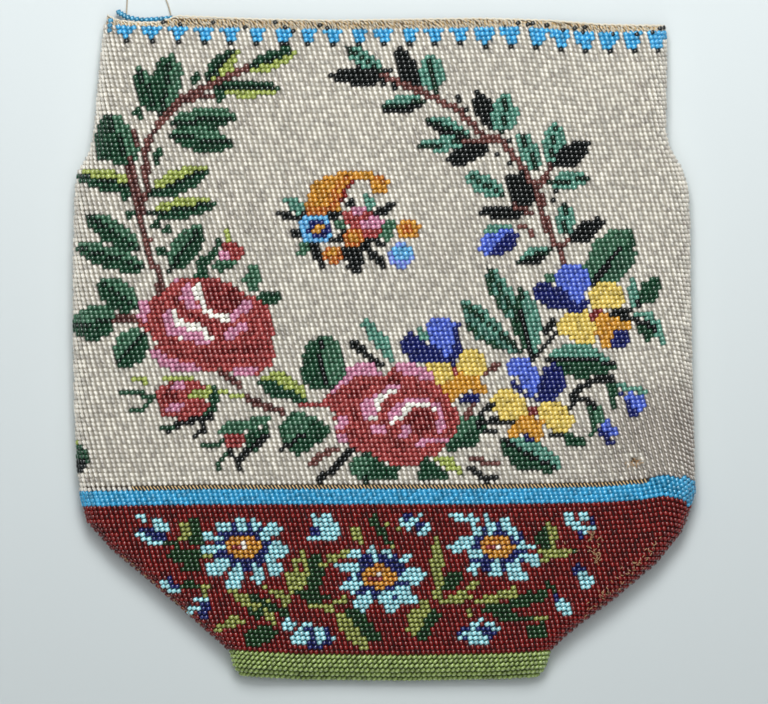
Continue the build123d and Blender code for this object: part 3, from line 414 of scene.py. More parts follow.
# The daisies: centres, the sizes of the dark oval, the heart, its red ring and its light, and the petals
DAISY_CENTRES = [(243, 547), (379, 577), (497, 547)]
DAISY_DARK, DAISY_HEART, DAISY_RING, DAISY_LIGHT = (60, 50), (34, 24), (13, 6), 6
DAISY_PETALS = [
    [216, 523, 228, 523, 231, 530, 218, 532], [202, 533, 214, 534, 228, 539, 216, 542, 202, 542],
    [200, 547, 228, 544, 227, 551, 201, 553], [214, 560, 228, 556, 228, 570, 220, 578, 206, 575, 206, 565],
    [224, 586, 230, 570, 240, 563, 243, 575, 242, 588, 232, 592],
    [250, 560, 258, 565, 265, 577, 260, 583, 250, 582, 252, 570], [233, 520, 242, 517, 247, 530, 240, 533],
    [250, 522, 256, 517, 261, 526, 254, 532], [260, 530, 272, 521, 283, 530, 274, 537, 262, 541],
    [268, 548, 276, 540, 286, 545, 293, 549, 284, 557, 272, 556],
    [262, 557, 275, 555, 283, 572, 275, 580, 267, 573], [347, 553, 360, 549, 364, 556, 352, 561],
    [334, 565, 350, 562, 366, 567, 355, 575, 342, 573], [339, 585, 352, 578, 364, 582, 355, 593, 340, 592],
    [349, 600, 362, 594, 370, 590, 372, 606, 364, 614, 356, 609],
    [378, 594, 388, 591, 399, 606, 393, 614, 384, 612], [393, 586, 406, 585, 419, 602, 404, 605, 394, 596],
    [397, 577, 408, 565, 426, 573, 420, 586, 408, 584], [397, 562, 404, 555, 412, 554, 404, 564],
    [383, 551, 392, 549, 395, 558, 387, 558], [366, 550, 374, 546, 380, 560, 374, 562],
    [450, 515, 460, 513, 466, 525, 458, 523], [464, 518, 474, 513, 478, 522, 470, 527],
    [473, 525, 481, 529, 481, 537, 475, 537], [481, 514, 490, 514, 495, 530, 494, 536, 487, 535],
    [500, 520, 508, 518, 517, 530, 517, 539, 508, 536],
    [446, 547, 456, 541, 463, 536, 477, 539, 472, 550, 455, 552], [465, 551, 484, 547, 486, 558, 470, 558],
    [464, 568, 474, 561, 481, 566, 475, 577], [488, 564, 498, 558, 501, 578, 491, 578],
    [505, 578, 508, 565, 518, 559, 524, 570, 529, 581, 519, 580],
    [517, 556, 530, 552, 541, 558, 541, 566, 530, 566], [516, 547, 520, 541, 538, 547, 530, 550],
]
BOWL = [
    ("olive", 0, 0, [178, 520, 186, 522, 195, 541, 180, 540]),
    ("olive", 0.1, 0, [286, 573, 302, 571, 309, 580, 301, 598, 288, 594]),
    ("olive", 0, 0, [350, 525, 363, 529, 364, 547, 353, 541], [335, 622, 343, 613, 361, 630, 362, 647,
     350, 641], [430, 562, 436, 538, 444, 552, 442, 589, 433, 583]),
    ("olive", 0.2, 0, [406, 614, 428, 600, 430, 617, 413, 635]),
    ("olive", 0, 0, [454, 599, 465, 589, 472, 597, 461, 605], [212, 631, 230, 615, 246, 621, 232, 630],
     [543, 518, 559, 530, 556, 550, 549, 537], [503, 600, 508, 589, 519, 589, 517, 601]),
    ("forest", 0, 0, [189, 518, 200, 519, 202, 546, 190, 543], [164, 553, 200, 548, 201, 568, 174, 563],
     [308, 560, 318, 551, 324, 575, 318, 599, 306, 598], [242, 636, 262, 623, 278, 632, 266, 645, 247, 646],
     [344, 610, 358, 613, 378, 638, 368, 643], [442, 590, 446, 573, 464, 572, 457, 589], [429, 607, 442, 616,
     420, 641, 414, 637, 429, 620], [498, 608, 531, 588, 529, 600, 508, 613], [526, 634, 546, 619, 544, 635,
     533, 641], [534, 537, 544, 523, 550, 548, 541, 550]),
    ("olive", 0, 6, [230, 590, 240, 597, 256, 600, 270, 604], [302, 552, 304, 565, 309, 575]),
    ("olive", 0, 5, [262, 585, 268, 590, 291, 600], [310, 607, 330, 606, 345, 599]),
    ("olive", 0, 6, [330, 557, 340, 555, 350, 551]),
    ("olive", 0, 5, [385, 525, 387, 540, 393, 546], [443, 603, 460, 603], [474, 603, 498, 604], [470, 610,
     468, 617], [525, 617, 545, 618], [540, 553, 556, 549]),
    ("olive", 0, 0, [200, 556, 214, 556, 205, 561], [201, 584, 209, 583, 209, 600, 203, 600]),
    ("forest", 0, 5, [373, 516, 378, 528, 380, 535], [384, 530, 390, 545], [488, 612, 500, 614, 505, 622],
     [546, 560, 565, 552, 575, 550]),
    ("forest", 0, 6, [161, 543, 173, 544], [181, 569, 199, 569], [184, 585, 195, 585]),
    ("forest", 0, 0, [241, 604, 256, 603, 268, 615, 256, 619]), ("forest", 0, 5, [250, 610, 284, 610]),
    ("olive", 0.1, 6, [443, 603, 460, 594, 477, 582]), ("olive", 0, 6, [483, 600, 500, 594, 515, 590]),
    ("forest", 0, 7, [485, 610, 510, 607, 527, 603, 547, 596]),
    ("forest", 0.2, 5, [497, 613, 520, 603, 543, 590]), ("forest", 0, 6, [503, 617, 530, 619]),
    ("forest", 0, (22, 16), [537, 632]), ("olive", 0.2, 9, [437, 547, 439, 570, 438, 595]),
    ("forest", 0, 10, [432, 617, 425, 634]),
    ("olive", 0, 11, [424, 606, 413, 630], [340, 617, 355, 634, 362, 645]),
    ("forest", 0, 9, [356, 612, 367, 624, 376, 636], [374, 519, 380, 532]), ("olive", 0.2, 6, [400, 529]),
    ("olive", 0, 6, [543, 560, 556, 555, 569, 552]), ("forest", 0, 5, [548, 582, 556, 596]),
    ("forest", 0.2, 8, [253, 598, 270, 607, 285, 613]), ("olive", 0, 6, [237, 597, 246, 604, 258, 607]),
    ("olive", 0.2, 5, [281, 593, 285, 606]), ("forest", 0, 7, [298, 593, 312, 600, 326, 597]),
    ("olive", 0, 6, [318, 607, 334, 610]), ("forest", 0.2, 6, [176, 548, 196, 568]),
    ("olive", 0.3, 6, [265, 612, 275, 622]), ("olive", 0, 7, [296, 560, 294, 580, 290, 594]),
    ("forest", 0, 6, [205, 545, 198, 560]), ("olive", 0.1, 5, [336, 557, 322, 566]),
    ("aqua", 0, 0, [134, 517, 146, 515, 148, 524, 140, 521], [150, 517, 160, 517, 169, 524, 169, 532,
     152, 531], [133, 530, 142, 533, 160, 540, 169, 536, 160, 545, 148, 544, 138, 539]),
    ("navy", 0, 0, [140, 530, 150, 529, 168, 532, 164, 541, 150, 538]),
    ("aqua", 0, 0, [307, 517, 317, 514, 319, 523], [321, 514, 331, 515, 341, 528, 342, 536, 331, 542,
     322, 538, 312, 542, 307, 537, 320, 533, 314, 525]),
    ("navy", 0, 0, [311, 527, 320, 524, 322, 534, 312, 535], [398, 516, 412, 514, 410, 523, 404, 525],
     [412, 526, 420, 522, 427, 522, 416, 533]),
    ("aqua", 0, 0, [399, 517, 406, 525, 400, 529], [407, 522, 421, 514, 418, 523, 410, 528, 408, 534],
     [415, 535, 428, 523, 431, 530, 424, 537], [561, 516, 570, 512, 575, 522, 584, 526, 599, 528, 588, 533,
     577, 532, 568, 525], [577, 513, 586, 514, 589, 523, 582, 522]),
    ("navy", 0, 0, [588, 518, 595, 515, 596, 526, 589, 527], [574, 531, 586, 533, 580, 539], [163, 580,
     168, 576, 176, 583, 181, 590, 172, 588]),
    ("aqua", 0, 5, [164, 583, 166, 588, 172, 592, 178, 591]),
    ("navy", 0, 0, [199, 602, 210, 602, 210, 610, 207, 620, 199, 618]),
    ("aqua", 0, 5, [196, 600, 205, 599], [190, 606, 198, 608], [190, 613]), ("navy", 0, (36, 22), [315, 637]),
    ("aqua", 0, 0, [280, 624, 288, 618, 297, 621, 294, 630, 284, 631], [290, 636, 300, 628, 309, 633,
     307, 644, 293, 645]),
    ("aqua", 0, 5, [303, 624, 312, 624]),
    ("aqua", 0, 0, [313, 640, 316, 629, 324, 626, 325, 634, 322, 649], [328, 640, 334, 635, 334, 645]),
    ("navy", 0, (40, 20), [476, 634]),
    ("aqua", 0, 0, [453, 634, 461, 637, 458, 642], [463, 632, 476, 628, 483, 635, 491, 640, 492, 645,
     482, 646, 470, 647]),
    ("aqua", 0, 5, [473, 626, 480, 621]), ("aqua", 0, 0, [483, 621, 495, 624, 500, 630, 496, 633]),
    ("navy", 0, 0, [572, 567, 580, 564, 588, 569, 578, 573, 574, 578]),
    ("aqua", 0, 0, [577, 570, 585, 571, 594, 576, 594, 582, 588, 588, 580, 587, 576, 580]),
    ("navy", 0, 0, [555, 591, 563, 598, 556, 601]),
    ("aqua", 0, 0, [553, 605, 560, 599, 574, 607, 570, 614, 565, 617]),
]
BORDER_CENTRES = [
    125, 151, 177.5, 204, 230, 257, 283, 308, 333, 359, 383, 410, 434.5, 460, 485, 511, 537, 561, 585, 609,
    632, 657,
]
# Half the width of each bead row of a border triangle, as shares of the column pitch, where the triangles
# begin to be a row longer, and the size of the dark tip, in pixels
BORDER_ROW_SHARES, LONG_BORDER_FROM, BORDER_TIP = (1.9, 1.75, 1.35, 0.9), 480, 5.2
STEEL_BEADS = [
    (163, 22), (180, 24), (213, 22), (245, 27), (275, 22), (285, 27), (293, 31), (320, 25), (327, 28),
    (518, 23), (528, 24), (533, 23), (547, 25), (563, 30), (575, 28), (585, 27), (583, 32), (613, 34),
    (637, 34), (653, 32), (662, 28), (667, 27),
]
# The blue band where it swells round the right edge, in pixels
BAND_BULGE = [(648, 480), (656, 477), (668, 474), (684, 477), (704, 484), (704, 508), (690, 506), (680, 498),
              (668, 492), (652, 488)]
# Where the bare row starts and ends, in pixels
BARE_ENDS = (130, 648)
# Turquoise beads along the back's lifted edge and at the left corner, and a bead out of its place, in pixels
BACK_EDGE_ROW = [(113, 11), (128, 17), (143, 19), (170, 17)]
CORNER_BEADS = [(108.5, 20), (108, 25), (107.5, 30)]
STRAY_BEAD = (483, 45)
# Wear in pixels: the hole with its worn rim, and frayed thread ends on the bowl
HOLE, HOLE_SIZE, HOLE_RIM = (635, 460), 3.4, 10
FRAYS = [
    [(586, 531), (592, 535), (590, 540)], [(591, 551), (598, 555), (595, 561)],
    [(598, 552), (601, 556), (594, 563)],
]
# Where the threads show between worn beads, in pixels, with how many ends show and how far they scatter
WORN_PLACES = [
    ([(657, 543), (640, 562), (622, 580), (604, 597), (588, 610)], 56, 3.5),
    ([(590, 533), (598, 545), (596, 560)], 26, 4.5), ([(630, 464), (642, 463)], 22, 2.6),
    ([(560, 545), (575, 552)], 8, 4.0), ([(110, 552), (150, 585), (190, 620)], 24, 3.0),
]
# How far inside the edge a worn thread stays, in pixels
WORN_MARGIN = 1.5


def between(table, place):
    """A table's second value at places along its first, straight from row to row."""
    rows = np.array(table, float)
    return np.interp(place, rows[:, 0], rows[:, 1])


def edge_at(edge, py):
    """An edge's pixel x at pixel heights, straight from point to point."""
    points = np.array(edge, float)
    return np.interp(py, points[:, 1], points[:, 0])


def row_dip(px, py):
    """How far a bead row lies below its level: three dip tables that fade away from their own heights,
    and the rows of the blue band drawn together."""
    mouth = np.interp(py, MOUTH_FADE, [1, 0]) * between(MOUTH_DIP, px)
    band = np.interp(py, BAND_FADE, [0, 1, 0]) * between(BAND_DIP, px)
    foot = np.interp(py, FOOT_FADE, [0, 1]) * between(FOOT_DIP, px)
    return mouth + band + foot + between(BAND_PINCH, py)


def fall_table(fall):
    """Arc length against angle down a quarter ellipse, a fall wide and half the bag's thickness tall."""
    turn = np.linspace(0, math.pi / 2, 64)
    steps = np.hypot(np.diff(fall * np.sin(turn)), np.diff(HALF_THICK * np.cos(turn)))
    return np.concatenate([[0], np.cumsum(steps)]), turn


def skin(run, py, depth, front):
    """The bag's skin as (n, 3) places: level over the middle, then a quarter ellipse down to each edge,
    with low sine puckers on the front, drawn in by a depth along the section's normal."""
    half = between(SAG, py)
    fall = FALL_FRONT if front else FALL_BACK
    lengths, turn = fall_table(fall)
    left = (edge_at(LEFT_EDGE, py) - MIDDLE_X) * PIXEL + fall
    right = (edge_at(RIGHT_EDGE, py) - MIDDLE_X) * PIXEL - fall
    beyond = np.maximum(run - right, 0) - np.maximum(left - run, 0)
    angle = np.sign(beyond) * np.interp(np.abs(beyond), lengths, turn)
    y = (MIDDLE_Y - py) * PIXEL
    pucker = BROAD_PUCKER * np.sin(run / BROAD_WAVES[0] + BROAD_STARTS[0])
    pucker = pucker * np.sin(y / BROAD_WAVES[1] + BROAD_STARTS[1])
    pucker = pucker + FINE_PUCKER * np.sin(run / FINE_WAVES[0] - y / FINE_WAVES[1])
    normal_x, normal_z = half * np.sin(angle), fall * np.cos(angle)
    size = np.hypot(normal_x, normal_z)
    x = np.clip(run, left, right) + fall * np.sin(angle) - depth * normal_x / size
    lift = half * np.cos(angle) - depth * normal_z / size
    z = half + lift + pucker * np.cos(angle) if front else half - lift
    return np.stack([x, y, z], -1)


def unit(vectors):
    """Vectors made one long."""
    return vectors / np.linalg.norm(vectors, axis=-1, keepdims=True)


def skin_frames(run, py, depth, front):
    """Places on the skin with their sideways, upward and outward directions, from small steps each way."""
    step = 0.3
    side = skin(run + step * PIXEL, py, depth, front) - skin(run - step * PIXEL, py, depth, front)
    rise = skin(run, py - step, depth, front) - skin(run, py + step, depth, front)
    side = unit(side if front else -side)
    out = unit(np.cross(side, unit(rise)))
    return skin(run, py, depth, front), side, np.cross(out, side), out


def lattice(front):
    """Every stitch of one face: level rows, columns that lean with their height, closer to the right,
    with a little unevenness, kept where the run stays on that face."""
    columns = np.arange(-COLUMN_REACH, COLUMN_REACH + 1)
    row, column = [a.ravel() for a in np.meshgrid(np.arange(ROW_COUNT), columns, indexing="ij")]
    level = FIRST_ROW_Y + ROW_PITCH * row
    lean = COLUMN_LEAN if front else -COLUMN_LEAN
    flat = COLUMN_PITCH * column + lean * (level - MIDDLE_Y)
    flat = flat - COLUMN_CROWDING * (flat / CROWDING_REACH) ** 2 + dice.normal(0, COLUMN_WANDER, row.size)
    py = level + row_dip(MIDDLE_X + flat, level) + dice.normal(0, ROW_WANDER, row.size)
    run = flat * PIXEL
    fall = FALL_FRONT if front else FALL_BACK
    reach = fall_table(fall)[0][-1] - fall - EDGE_MARGIN * COLUMN_PITCH * PIXEL
    kept = run < (edge_at(RIGHT_EDGE, py) - MIDDLE_X) * PIXEL + reach
    kept &= run > (edge_at(LEFT_EDGE, py) - MIDDLE_X) * PIXEL - reach
    kept &= py < FOOT_Y
    return row[kept], run[kept], py[kept]


def in_field(points, px, py):
    """Whether places lie in a closed outline, by counting the sides that a level ray crosses."""
    hit = np.zeros(px.shape, bool)
    for (x1, y1), (x2, y2) in zip(points, points[1:] + points[:1]):
        if y1 != y2:
            hit ^= ((y1 > py) != (y2 > py)) & (px < x1 + (py - y1) * (x2 - x1) / (y2 - y1))
    return hit


def near_line(points, px, py):
    """Least distance from places to a line through points, or to one point."""
    least = np.hypot(px - points[0][0], py - points[0][1])
    for (x1, y1), (x2, y2) in zip(points, points[1:]):
        share = ((px - x1) * (x2 - x1) + (py - y1) * (y2 - y1)) / ((x2 - x1) ** 2 + (y2 - y1) ** 2)
        share = np.clip(share, 0, 1)
        least = np.minimum(least, np.hypot(px - x1 - share * (x2 - x1), py - y1 - share * (y2 - y1)))
    return least


def covered(size, points, px, py):
    """The places that one row of the pattern covers: a field, a stroke or dot, or an oval."""
    if size == 0:
        return in_field(points, px, py)
    if isinstance(size, tuple):
        (x, y), (wide, high) = points[0], size
        return ((px - x) / wide) ** 2 + ((py - y) / high) ** 2 < 0.25
    return near_line(points, px, py) < size / 2


def shape_rows(table):
    """A pattern table with one row for each of its shapes: colour, tone, size and points in pairs."""
    return [(name, tone, size, list(zip(flat[::2], flat[1::2])))
            for name, tone, size, *shapes in table for flat in shapes]


def leaf_rows():
    """The leaves as pattern rows: two half outlines about the line from base to tip, and a dark rib."""
    rows = []
    for base, tip, width, left, right in LEAVES:
        run = (tip[0] - base[0], tip[1] - base[1])
        length = math.hypot(*run)
        out = (run[1] / length * width, -run[0] / length * width)
        for sign, colour in ((1, left), (-1, right)):
            edge = [(base[0] + run[0] * a + sign * out[0] * b, base[1] + run[1] * a + sign * out[1] * b)
                    for a, b in LEAF_EDGE_SHARES]
            rows.append((colour, 0.1, 0, [base] + edge + [tip]))
        if left != right or left == "teal":
            end = (base[0] + run[0] * RIB_SHARE, base[1] + run[1] * RIB_SHARE)
            rows.append(("dark", 0.95, RIB_WIDTH, [base, end]))
    return rows


def daisy_rows():
    """The daisies as pattern rows: a dark oval, petals, an amber heart with a red ring and a white bead."""
    rows = [("navy", 0.1, DAISY_DARK, [centre]) for centre in DAISY_CENTRES]
    rows += shape_rows([("aqua", 0.0, 0, *DAISY_PETALS)])
    for x, y in DAISY_CENTRES:
        rows.append(("amber", 0.3, DAISY_HEART, [(x, y)]))
        rows.append(("crimson", 0.4, DAISY_RING, [(x - 4, y + 1)]))
        rows.append(("white", 0.0, DAISY_LIGHT, [(x, y - 1)]))
    return rows


def border_rows():
    """The border as pattern rows: triangles of shortening bead rows, each with a dark bead at its tip."""
    rows = []
    for x in BORDER_CENTRES:
        top = FIRST_ROW_Y + float(between(MOUTH_DIP, x)) - ROW_PITCH / 2
        shares = BORDER_ROW_SHARES if x > LONG_BORDER_FROM else BORDER_ROW_SHARES[1:]
        for number, share in enumerate(shares):
            half, above = share * COLUMN_PITCH, top + number * ROW_PITCH
            below = above + ROW_PITCH
            ring = [(x - half, above), (x + half, above), (x + half, below), (x - half, below)]
            rows.append(("border", 0.1, 0, ring))
        rows.append(("black", 0.3, BORDER_TIP, [(x + 1, top + (len(shares) + 0.5) * ROW_PITCH)]))
    return rows


def zone_colours(row):
    """The colour number of the ground beads of each row: cream, blue band, garnet, then green base."""
    colour = np.full(row.shape, NUMBER_OF["cream"])
    colour[row > BARE_ROW] = NUMBER_OF["blue"]
    colour[row >= FIRST_GARNET_ROW] = NUMBER_OF["garnet"]
    colour[row >= FIRST_BASE_ROW] = NUMBER_OF["base"]
    return colour


def chart(row, px, py):
    """Each front bead's colour number and tone: the zone's ground, then the pattern painted lowest first."""
    colour = zone_colours(row)
    tone = dice.normal(GROUND_TONE, GROUND_SPREAD, row.size)
    ground = row <= BARE_ROW
    bowl = (row >= FIRST_GARNET_ROW) & (row < FIRST_BASE_ROW)
    # Painted shade towards the lower right edge
    aside, below = (px - SHADE_PLACE[0]) / SHADE_REACH[0], (py - SHADE_PLACE[1]) / SHADE_REACH[1]
    tone[ground] += SHADE * np.exp(-aside ** 2 - below ** 2)[ground]
    cloud = CLOUD * np.sin(px / CLOUD_WAVES[0] + py / CLOUD_WAVES[1])
    tone[ground] += cloud[ground] * np.sin(py / CLOUD_WAVES[2] - 1)[ground]
    sprays = LEFT_BRANCH + HORN + RIGHT_BRANCH + PANSIES + LOWER_LEFT + UPPER_ROSE + LOWER_ROSE
    body = leaf_rows() + shape_rows(sprays) + border_rows() + [("border", 0, 5, [STRAY_BEAD])]
    flowers = shape_rows(BOWL) + daisy_rows()
    bulge = [("blue", 0.55, 0, BAND_BULGE)]
    for rows, zone in ((body, ground), (flowers, bowl), (bulge, row < FIRST_BASE_ROW)):
        for name, shade, size, points in rows:
            hit = zone & covered(size, points, px, py)
            colour[hit] = NUMBER_OF[name]
            tone[hit] = shade + dice.normal(0, PATTERN_SPREAD, row.size)[hit]
    return colour, tone


def bead_shape(sides, rings):
    """A bead of half size 1 as corners (along, across, up) and triangles: rings of corners about the hole's
    line, each (place along, radius), closed by a point at both ends."""
    turn = 2 * math.pi * (np.arange(sides) + 0.25) / sides
    corners = [np.stack([np.full(sides, place), radius * np.cos(turn), radius * np.sin(turn)], -1)
               for place, radius in rings]
    corners = np.concatenate(corners + [np.array([[-BEAD_END, 0, 0], [BEAD_END, 0, 0]])])
    here = np.arange(sides)
    ahead = (here + 1) % sides
    last, start, end = (len(rings) - 1) * sides, len(rings) * sides, len(rings) * sides + 1
    faces = [np.stack([np.full(sides, start), ahead, here], -1),
             np.stack([np.full(sides, end), last + here, last + ahead], -1)]
    for ring in range(len(rings) - 1):
        a, b = ring * sides, (ring + 1) * sides
        faces.append(np.stack([a + here, a + ahead, b + ahead], -1))
        faces.append(np.stack([a + here, b + ahead, b + here], -1))
    return corners, np.concatenate(faces)


# The beads' shapes: a drum with blunt ends for the front, and a plain double cone for the back
BEAD_END = 0.9
FULL_BEAD = bead_shape(8, [(-0.68, 0.94), (0.68, 0.94)])
PLAIN_BEAD = bead_shape(6, [(0.0, 1.0)])


def strung(shape, places, side, rise, out, slant, sizes, cells):
    """Copies of a shape set on the skin: its hole's line is turned by a slant from the row within the
    surface, corners = place + along * line + across * line's normal + up * outward. Returns corners,
    triangles and UV, the UV being each bead seen from above, shrunk into one cell of an 8 by 8 chart."""
    corners, faces = shape
    count = len(places)
    slant = np.broadcast_to(slant, count)[:, None]
    line = side * np.cos(slant) + rise * np.sin(slant)
    cross = rise * np.cos(slant) - side * np.sin(slant)
    local = corners[None] * sizes[:, None, :]
    points = places[:, None] + local[..., :1] * line[:, None] + local[..., 1:2] * cross[:, None]
    points = points + local[..., 2:] * out[:, None]
    triangles = faces[None] + np.arange(count)[:, None, None] * len(corners)
    uv = (cells[:, None, :] + 0.5 + CELL_FILL * np.clip(corners[None, :, :2], -1, 1)) / CELLS
    return points.reshape(-1, 3), triangles.reshape(-1, 3), uv.reshape(-1, 2)


def joined(*parts):
    """Several sets of corners, triangles and UV as one set."""
    starts = np.cumsum([0] + [len(part[0]) for part in parts])
    return (np.concatenate([part[0] for part in parts]),
            np.concatenate([part[1] + start for part, start in zip(parts, starts)]),
            np.concatenate([part[2] for part in parts]))


def piece(name, corners, triangles, uv, material, nodes, slot):
    """A smooth piece from corners, triangles and UV, riding on the bag, in place of its CAD nodes."""
    mesh = bpy.data.meshes.new(name)
    mesh.vertices.add(len(corners))
    mesh.vertices.foreach_set("co", corners.astype(np.float32).ravel())
    mesh.loops.add(triangles.size)
    mesh.loops.foreach_set("vertex_index", triangles.astype(np.int32).ravel())
    mesh.polygons.add(len(triangles))
    mesh.polygons.foreach_set("loop_start", np.arange(0, triangles.size, 3, dtype=np.int32))
    mesh.polygons.foreach_set("use_smooth", np.ones(len(triangles), bool))
    mesh.update(calc_edges=True)
    layer = mesh.uv_layers.new(name="OFBake")
    layer.uv.foreach_set("vector", uv[triangles.ravel()].astype(np.float32).ravel())
    mesh.materials.append(material)
    made = bpy.data.objects.new(name, mesh)
    bpy.context.scene.collection.objects.link(made)
    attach(made, "root")
    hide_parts(*nodes)
    return made


def linear(colour):
    """An sRGB colour out of 255 as linear light with full alpha."""
    share = np.array(colour) / 255
    return tuple(np.where(share <= 0.04045, share / 12.92, ((share + 0.055) / 1.055) ** 2.4)) + (1.0,)


def node(tree, kind, inputs=(), **settings):
    """A shader node with its settings and its inputs, each a value or another node's output."""
    made = tree.nodes.new(kind)
    for key, value in settings.items():
        setattr(made, key, value)
    for key, value in dict(inputs).items():
        if isinstance(value, bpy.types.NodeSocket):
            tree.links.new(value, made.inputs[key])
        else:
            made.inputs[key].default_value = value
    return made


def maths(tree, operation, *values):
    """The output of a Math node."""
    return node(tree, "ShaderNodeMath", dict(enumerate(values)), operation=operation).outputs[0]


def blend(tree, share, one, two, kind="MIX"):
    """The output of a colour mix."""
    mix = node(tree, "ShaderNodeMix", {0: share, 6: one, 7: two}, data_type="RGBA", blend_type=kind)
    return mix.outputs[2]


def stretched(tree, value, low, high, at_low, at_high):
    """The output of a smooth Map Range."""
    return node(tree, "ShaderNodeMapRange", {0: value, 1: low, 2: high, 3: at_low, 4: at_high},
                interpolation_type="SMOOTHSTEP").outputs[0]


# Within a bead's cell: where its lit core, a painted highlight, begins to fade, where its ends begin and
# cease to darken with painted shade, how deep they get, and how bright a bead is at least and how much more
# at most
PAINTED_LIGHT_FROM, END_SHADE_STRETCH, END_SHADE_DEPTH, BRIGHT_LEAST, BRIGHT_SPREAD = 0.02, (0.2, 0.34), 0.7, 0.78, 0.44


def bead_group():
    """Glass bead colour from the bead chart UV: the cell's row sets the tone and its column the brightness,
    the middle of the bead gets a painted highlight along its hole, and its ends get painted shade towards the
    hole."""
    tree = bpy.data.node_groups.new("strung_glass", "ShaderNodeTree")
    for name in ("Body", "Second Tone", "Painted Light"):
        tree.interface.new_socket(name, in_out="INPUT", socket_type="NodeSocketColor")
    for name in ("Painted Light Share", "Painted Light Width", "End Shade Share"):
        tree.interface.new_socket(name, in_out="INPUT", socket_type="NodeSocketFloat")
    tree.interface.new_socket("Colour", in_out="OUTPUT", socket_type="NodeSocketColor")
    given = node(tree, "NodeGroupInput").outputs
    laid = node(tree, "ShaderNodeUVMap", uv_map="OFBake").outputs[0]
    place = node(tree, "ShaderNodeSeparateXYZ", {0: laid}).outputs
    wide, high = [maths(tree, "MULTIPLY", place[axis], float(CELLS)) for axis in (0, 1)]
    tone = maths(tree, "DIVIDE", maths(tree, "FLOOR", high), float(CELLS - 1))
    chance = node(tree, "ShaderNodeTexWhiteNoise", {"W": maths(tree, "FLOOR", wide)},
                  noise_dimensions="1D").outputs[0]
    along = maths(tree, "ABSOLUTE", maths(tree, "SUBTRACT", maths(tree, "FRACT", wide), 0.5))
    aside = maths(tree, "ABSOLUTE", maths(tree, "SUBTRACT", maths(tree, "FRACT", high), 0.5))
    # Painted highlight: a light core along the bead's hole
    painted_light = stretched(tree, aside, PAINTED_LIGHT_FROM, given["Painted Light Width"], 1.0, 0.0)
    # Painted shade: the bead's ends darkened towards its hole
    end = stretched(tree, along, *END_SHADE_STRETCH, 0.0, given["End Shade Share"])
    bright = maths(tree, "MULTIPLY_ADD", chance, BRIGHT_SPREAD, BRIGHT_LEAST)
    toned = blend(tree, tone, given["Body"], given["Second Tone"])
    lit = blend(tree, maths(tree, "MULTIPLY", painted_light, given["Painted Light Share"]), toned, given["Painted Light"])
    deep = blend(tree, END_SHADE_DEPTH, toned, toned, "MULTIPLY")
    dim = blend(tree, end, lit, deep)
    shade = node(tree, "ShaderNodeCombineXYZ", {0: bright, 1: bright, 2: bright}).outputs[0]
    result = blend(tree, 1.0, dim, shade, "MULTIPLY")
    node(tree, "NodeGroupOutput", {0: result})
    return tree


def surface(name, roughness, **sockets):
    """A new material and its tree, with plain values on the surface shader."""
    material = bpy.data.materials.new(name)
    material.use_nodes = True
    shader = material.node_tree.nodes["Principled BSDF"]
    shader.inputs["Roughness"].default_value = roughness
    for key, value in sockets.items():
        shader.inputs[key.replace("_", " ")].default_value = value
    return material, material.node_tree, shader


def bead_material(name):
    """The glass of one bead colour."""
    _, slot, body, second, painted_light, roughness = BEAD_COLOURS[name]
    material, tree, shader = surface(
        slot.replace("glass", "beads"), roughness, Specular_IOR_Level=0.3,
        Coat_Weight=COAT_WEIGHTS.get(name, COAT_WEIGHT), Coat_IOR=1.6, Coat_Roughness=0.12)
    inside = {"Body": linear(body), "Second Tone": linear(second), "Painted Light": linear(painted_light),
              "Painted Light Share": PAINTED_LIGHT_SHARES.get(name, PAINTED_LIGHT_SHARE),
              "Painted Light Width": PAINTED_LIGHT_WIDTHS.get(name, PAINTED_LIGHT_WIDTH),
              "End Shade Share": END_SHADE_SHARES.get(name, END_SHADE_SHARE)}
    drawn = node(tree, "ShaderNodeGroup", node_tree=strung_glass)
    for key, value in inside.items():
        drawn.inputs[key].default_value = value
    tree.links.new(drawn.outputs[0], shader.inputs["Base Color"])
    # Emission of the bead's own colour: a painted glow standing in for light passing through the glass
    tree.links.new(drawn.outputs[0], shader.inputs["Emission Color"])
    shader.inputs["Emission Strength"].default_value = PAINTED_GLOWS.get(name, PAINTED_GLOW)
    return material


def thread_material(name, light, dark, scale):
    """Knitted thread: two tones in a fine noise, and ridges of a slanted wave along the stitches."""
    material, tree, shader = surface(name, 0.75, Sheen_Weight=0.2)
    place = node(tree, "ShaderNodeTexCoord").outputs["Object"]
    speck = node(tree, "ShaderNodeTexNoise", {"Vector": place, "Scale": scale, "Detail": 3.0}).outputs[0]
    ridge = node(tree, "ShaderNodeTexWave", {"Vector": place, "Scale": scale * 0.35, "Distortion": 1.5},
                 bands_direction="DIAGONAL").outputs[1]
    tree.links.new(blend(tree, speck, linear(dark), linear(light)), shader.inputs["Base Color"])
    bump = node(tree, "ShaderNodeBump", {"Height": ridge, "Strength": 0.5, "Distance": 0.0002})
    tree.links.new(bump.outputs[0], shader.inputs["Normal"])
    return material


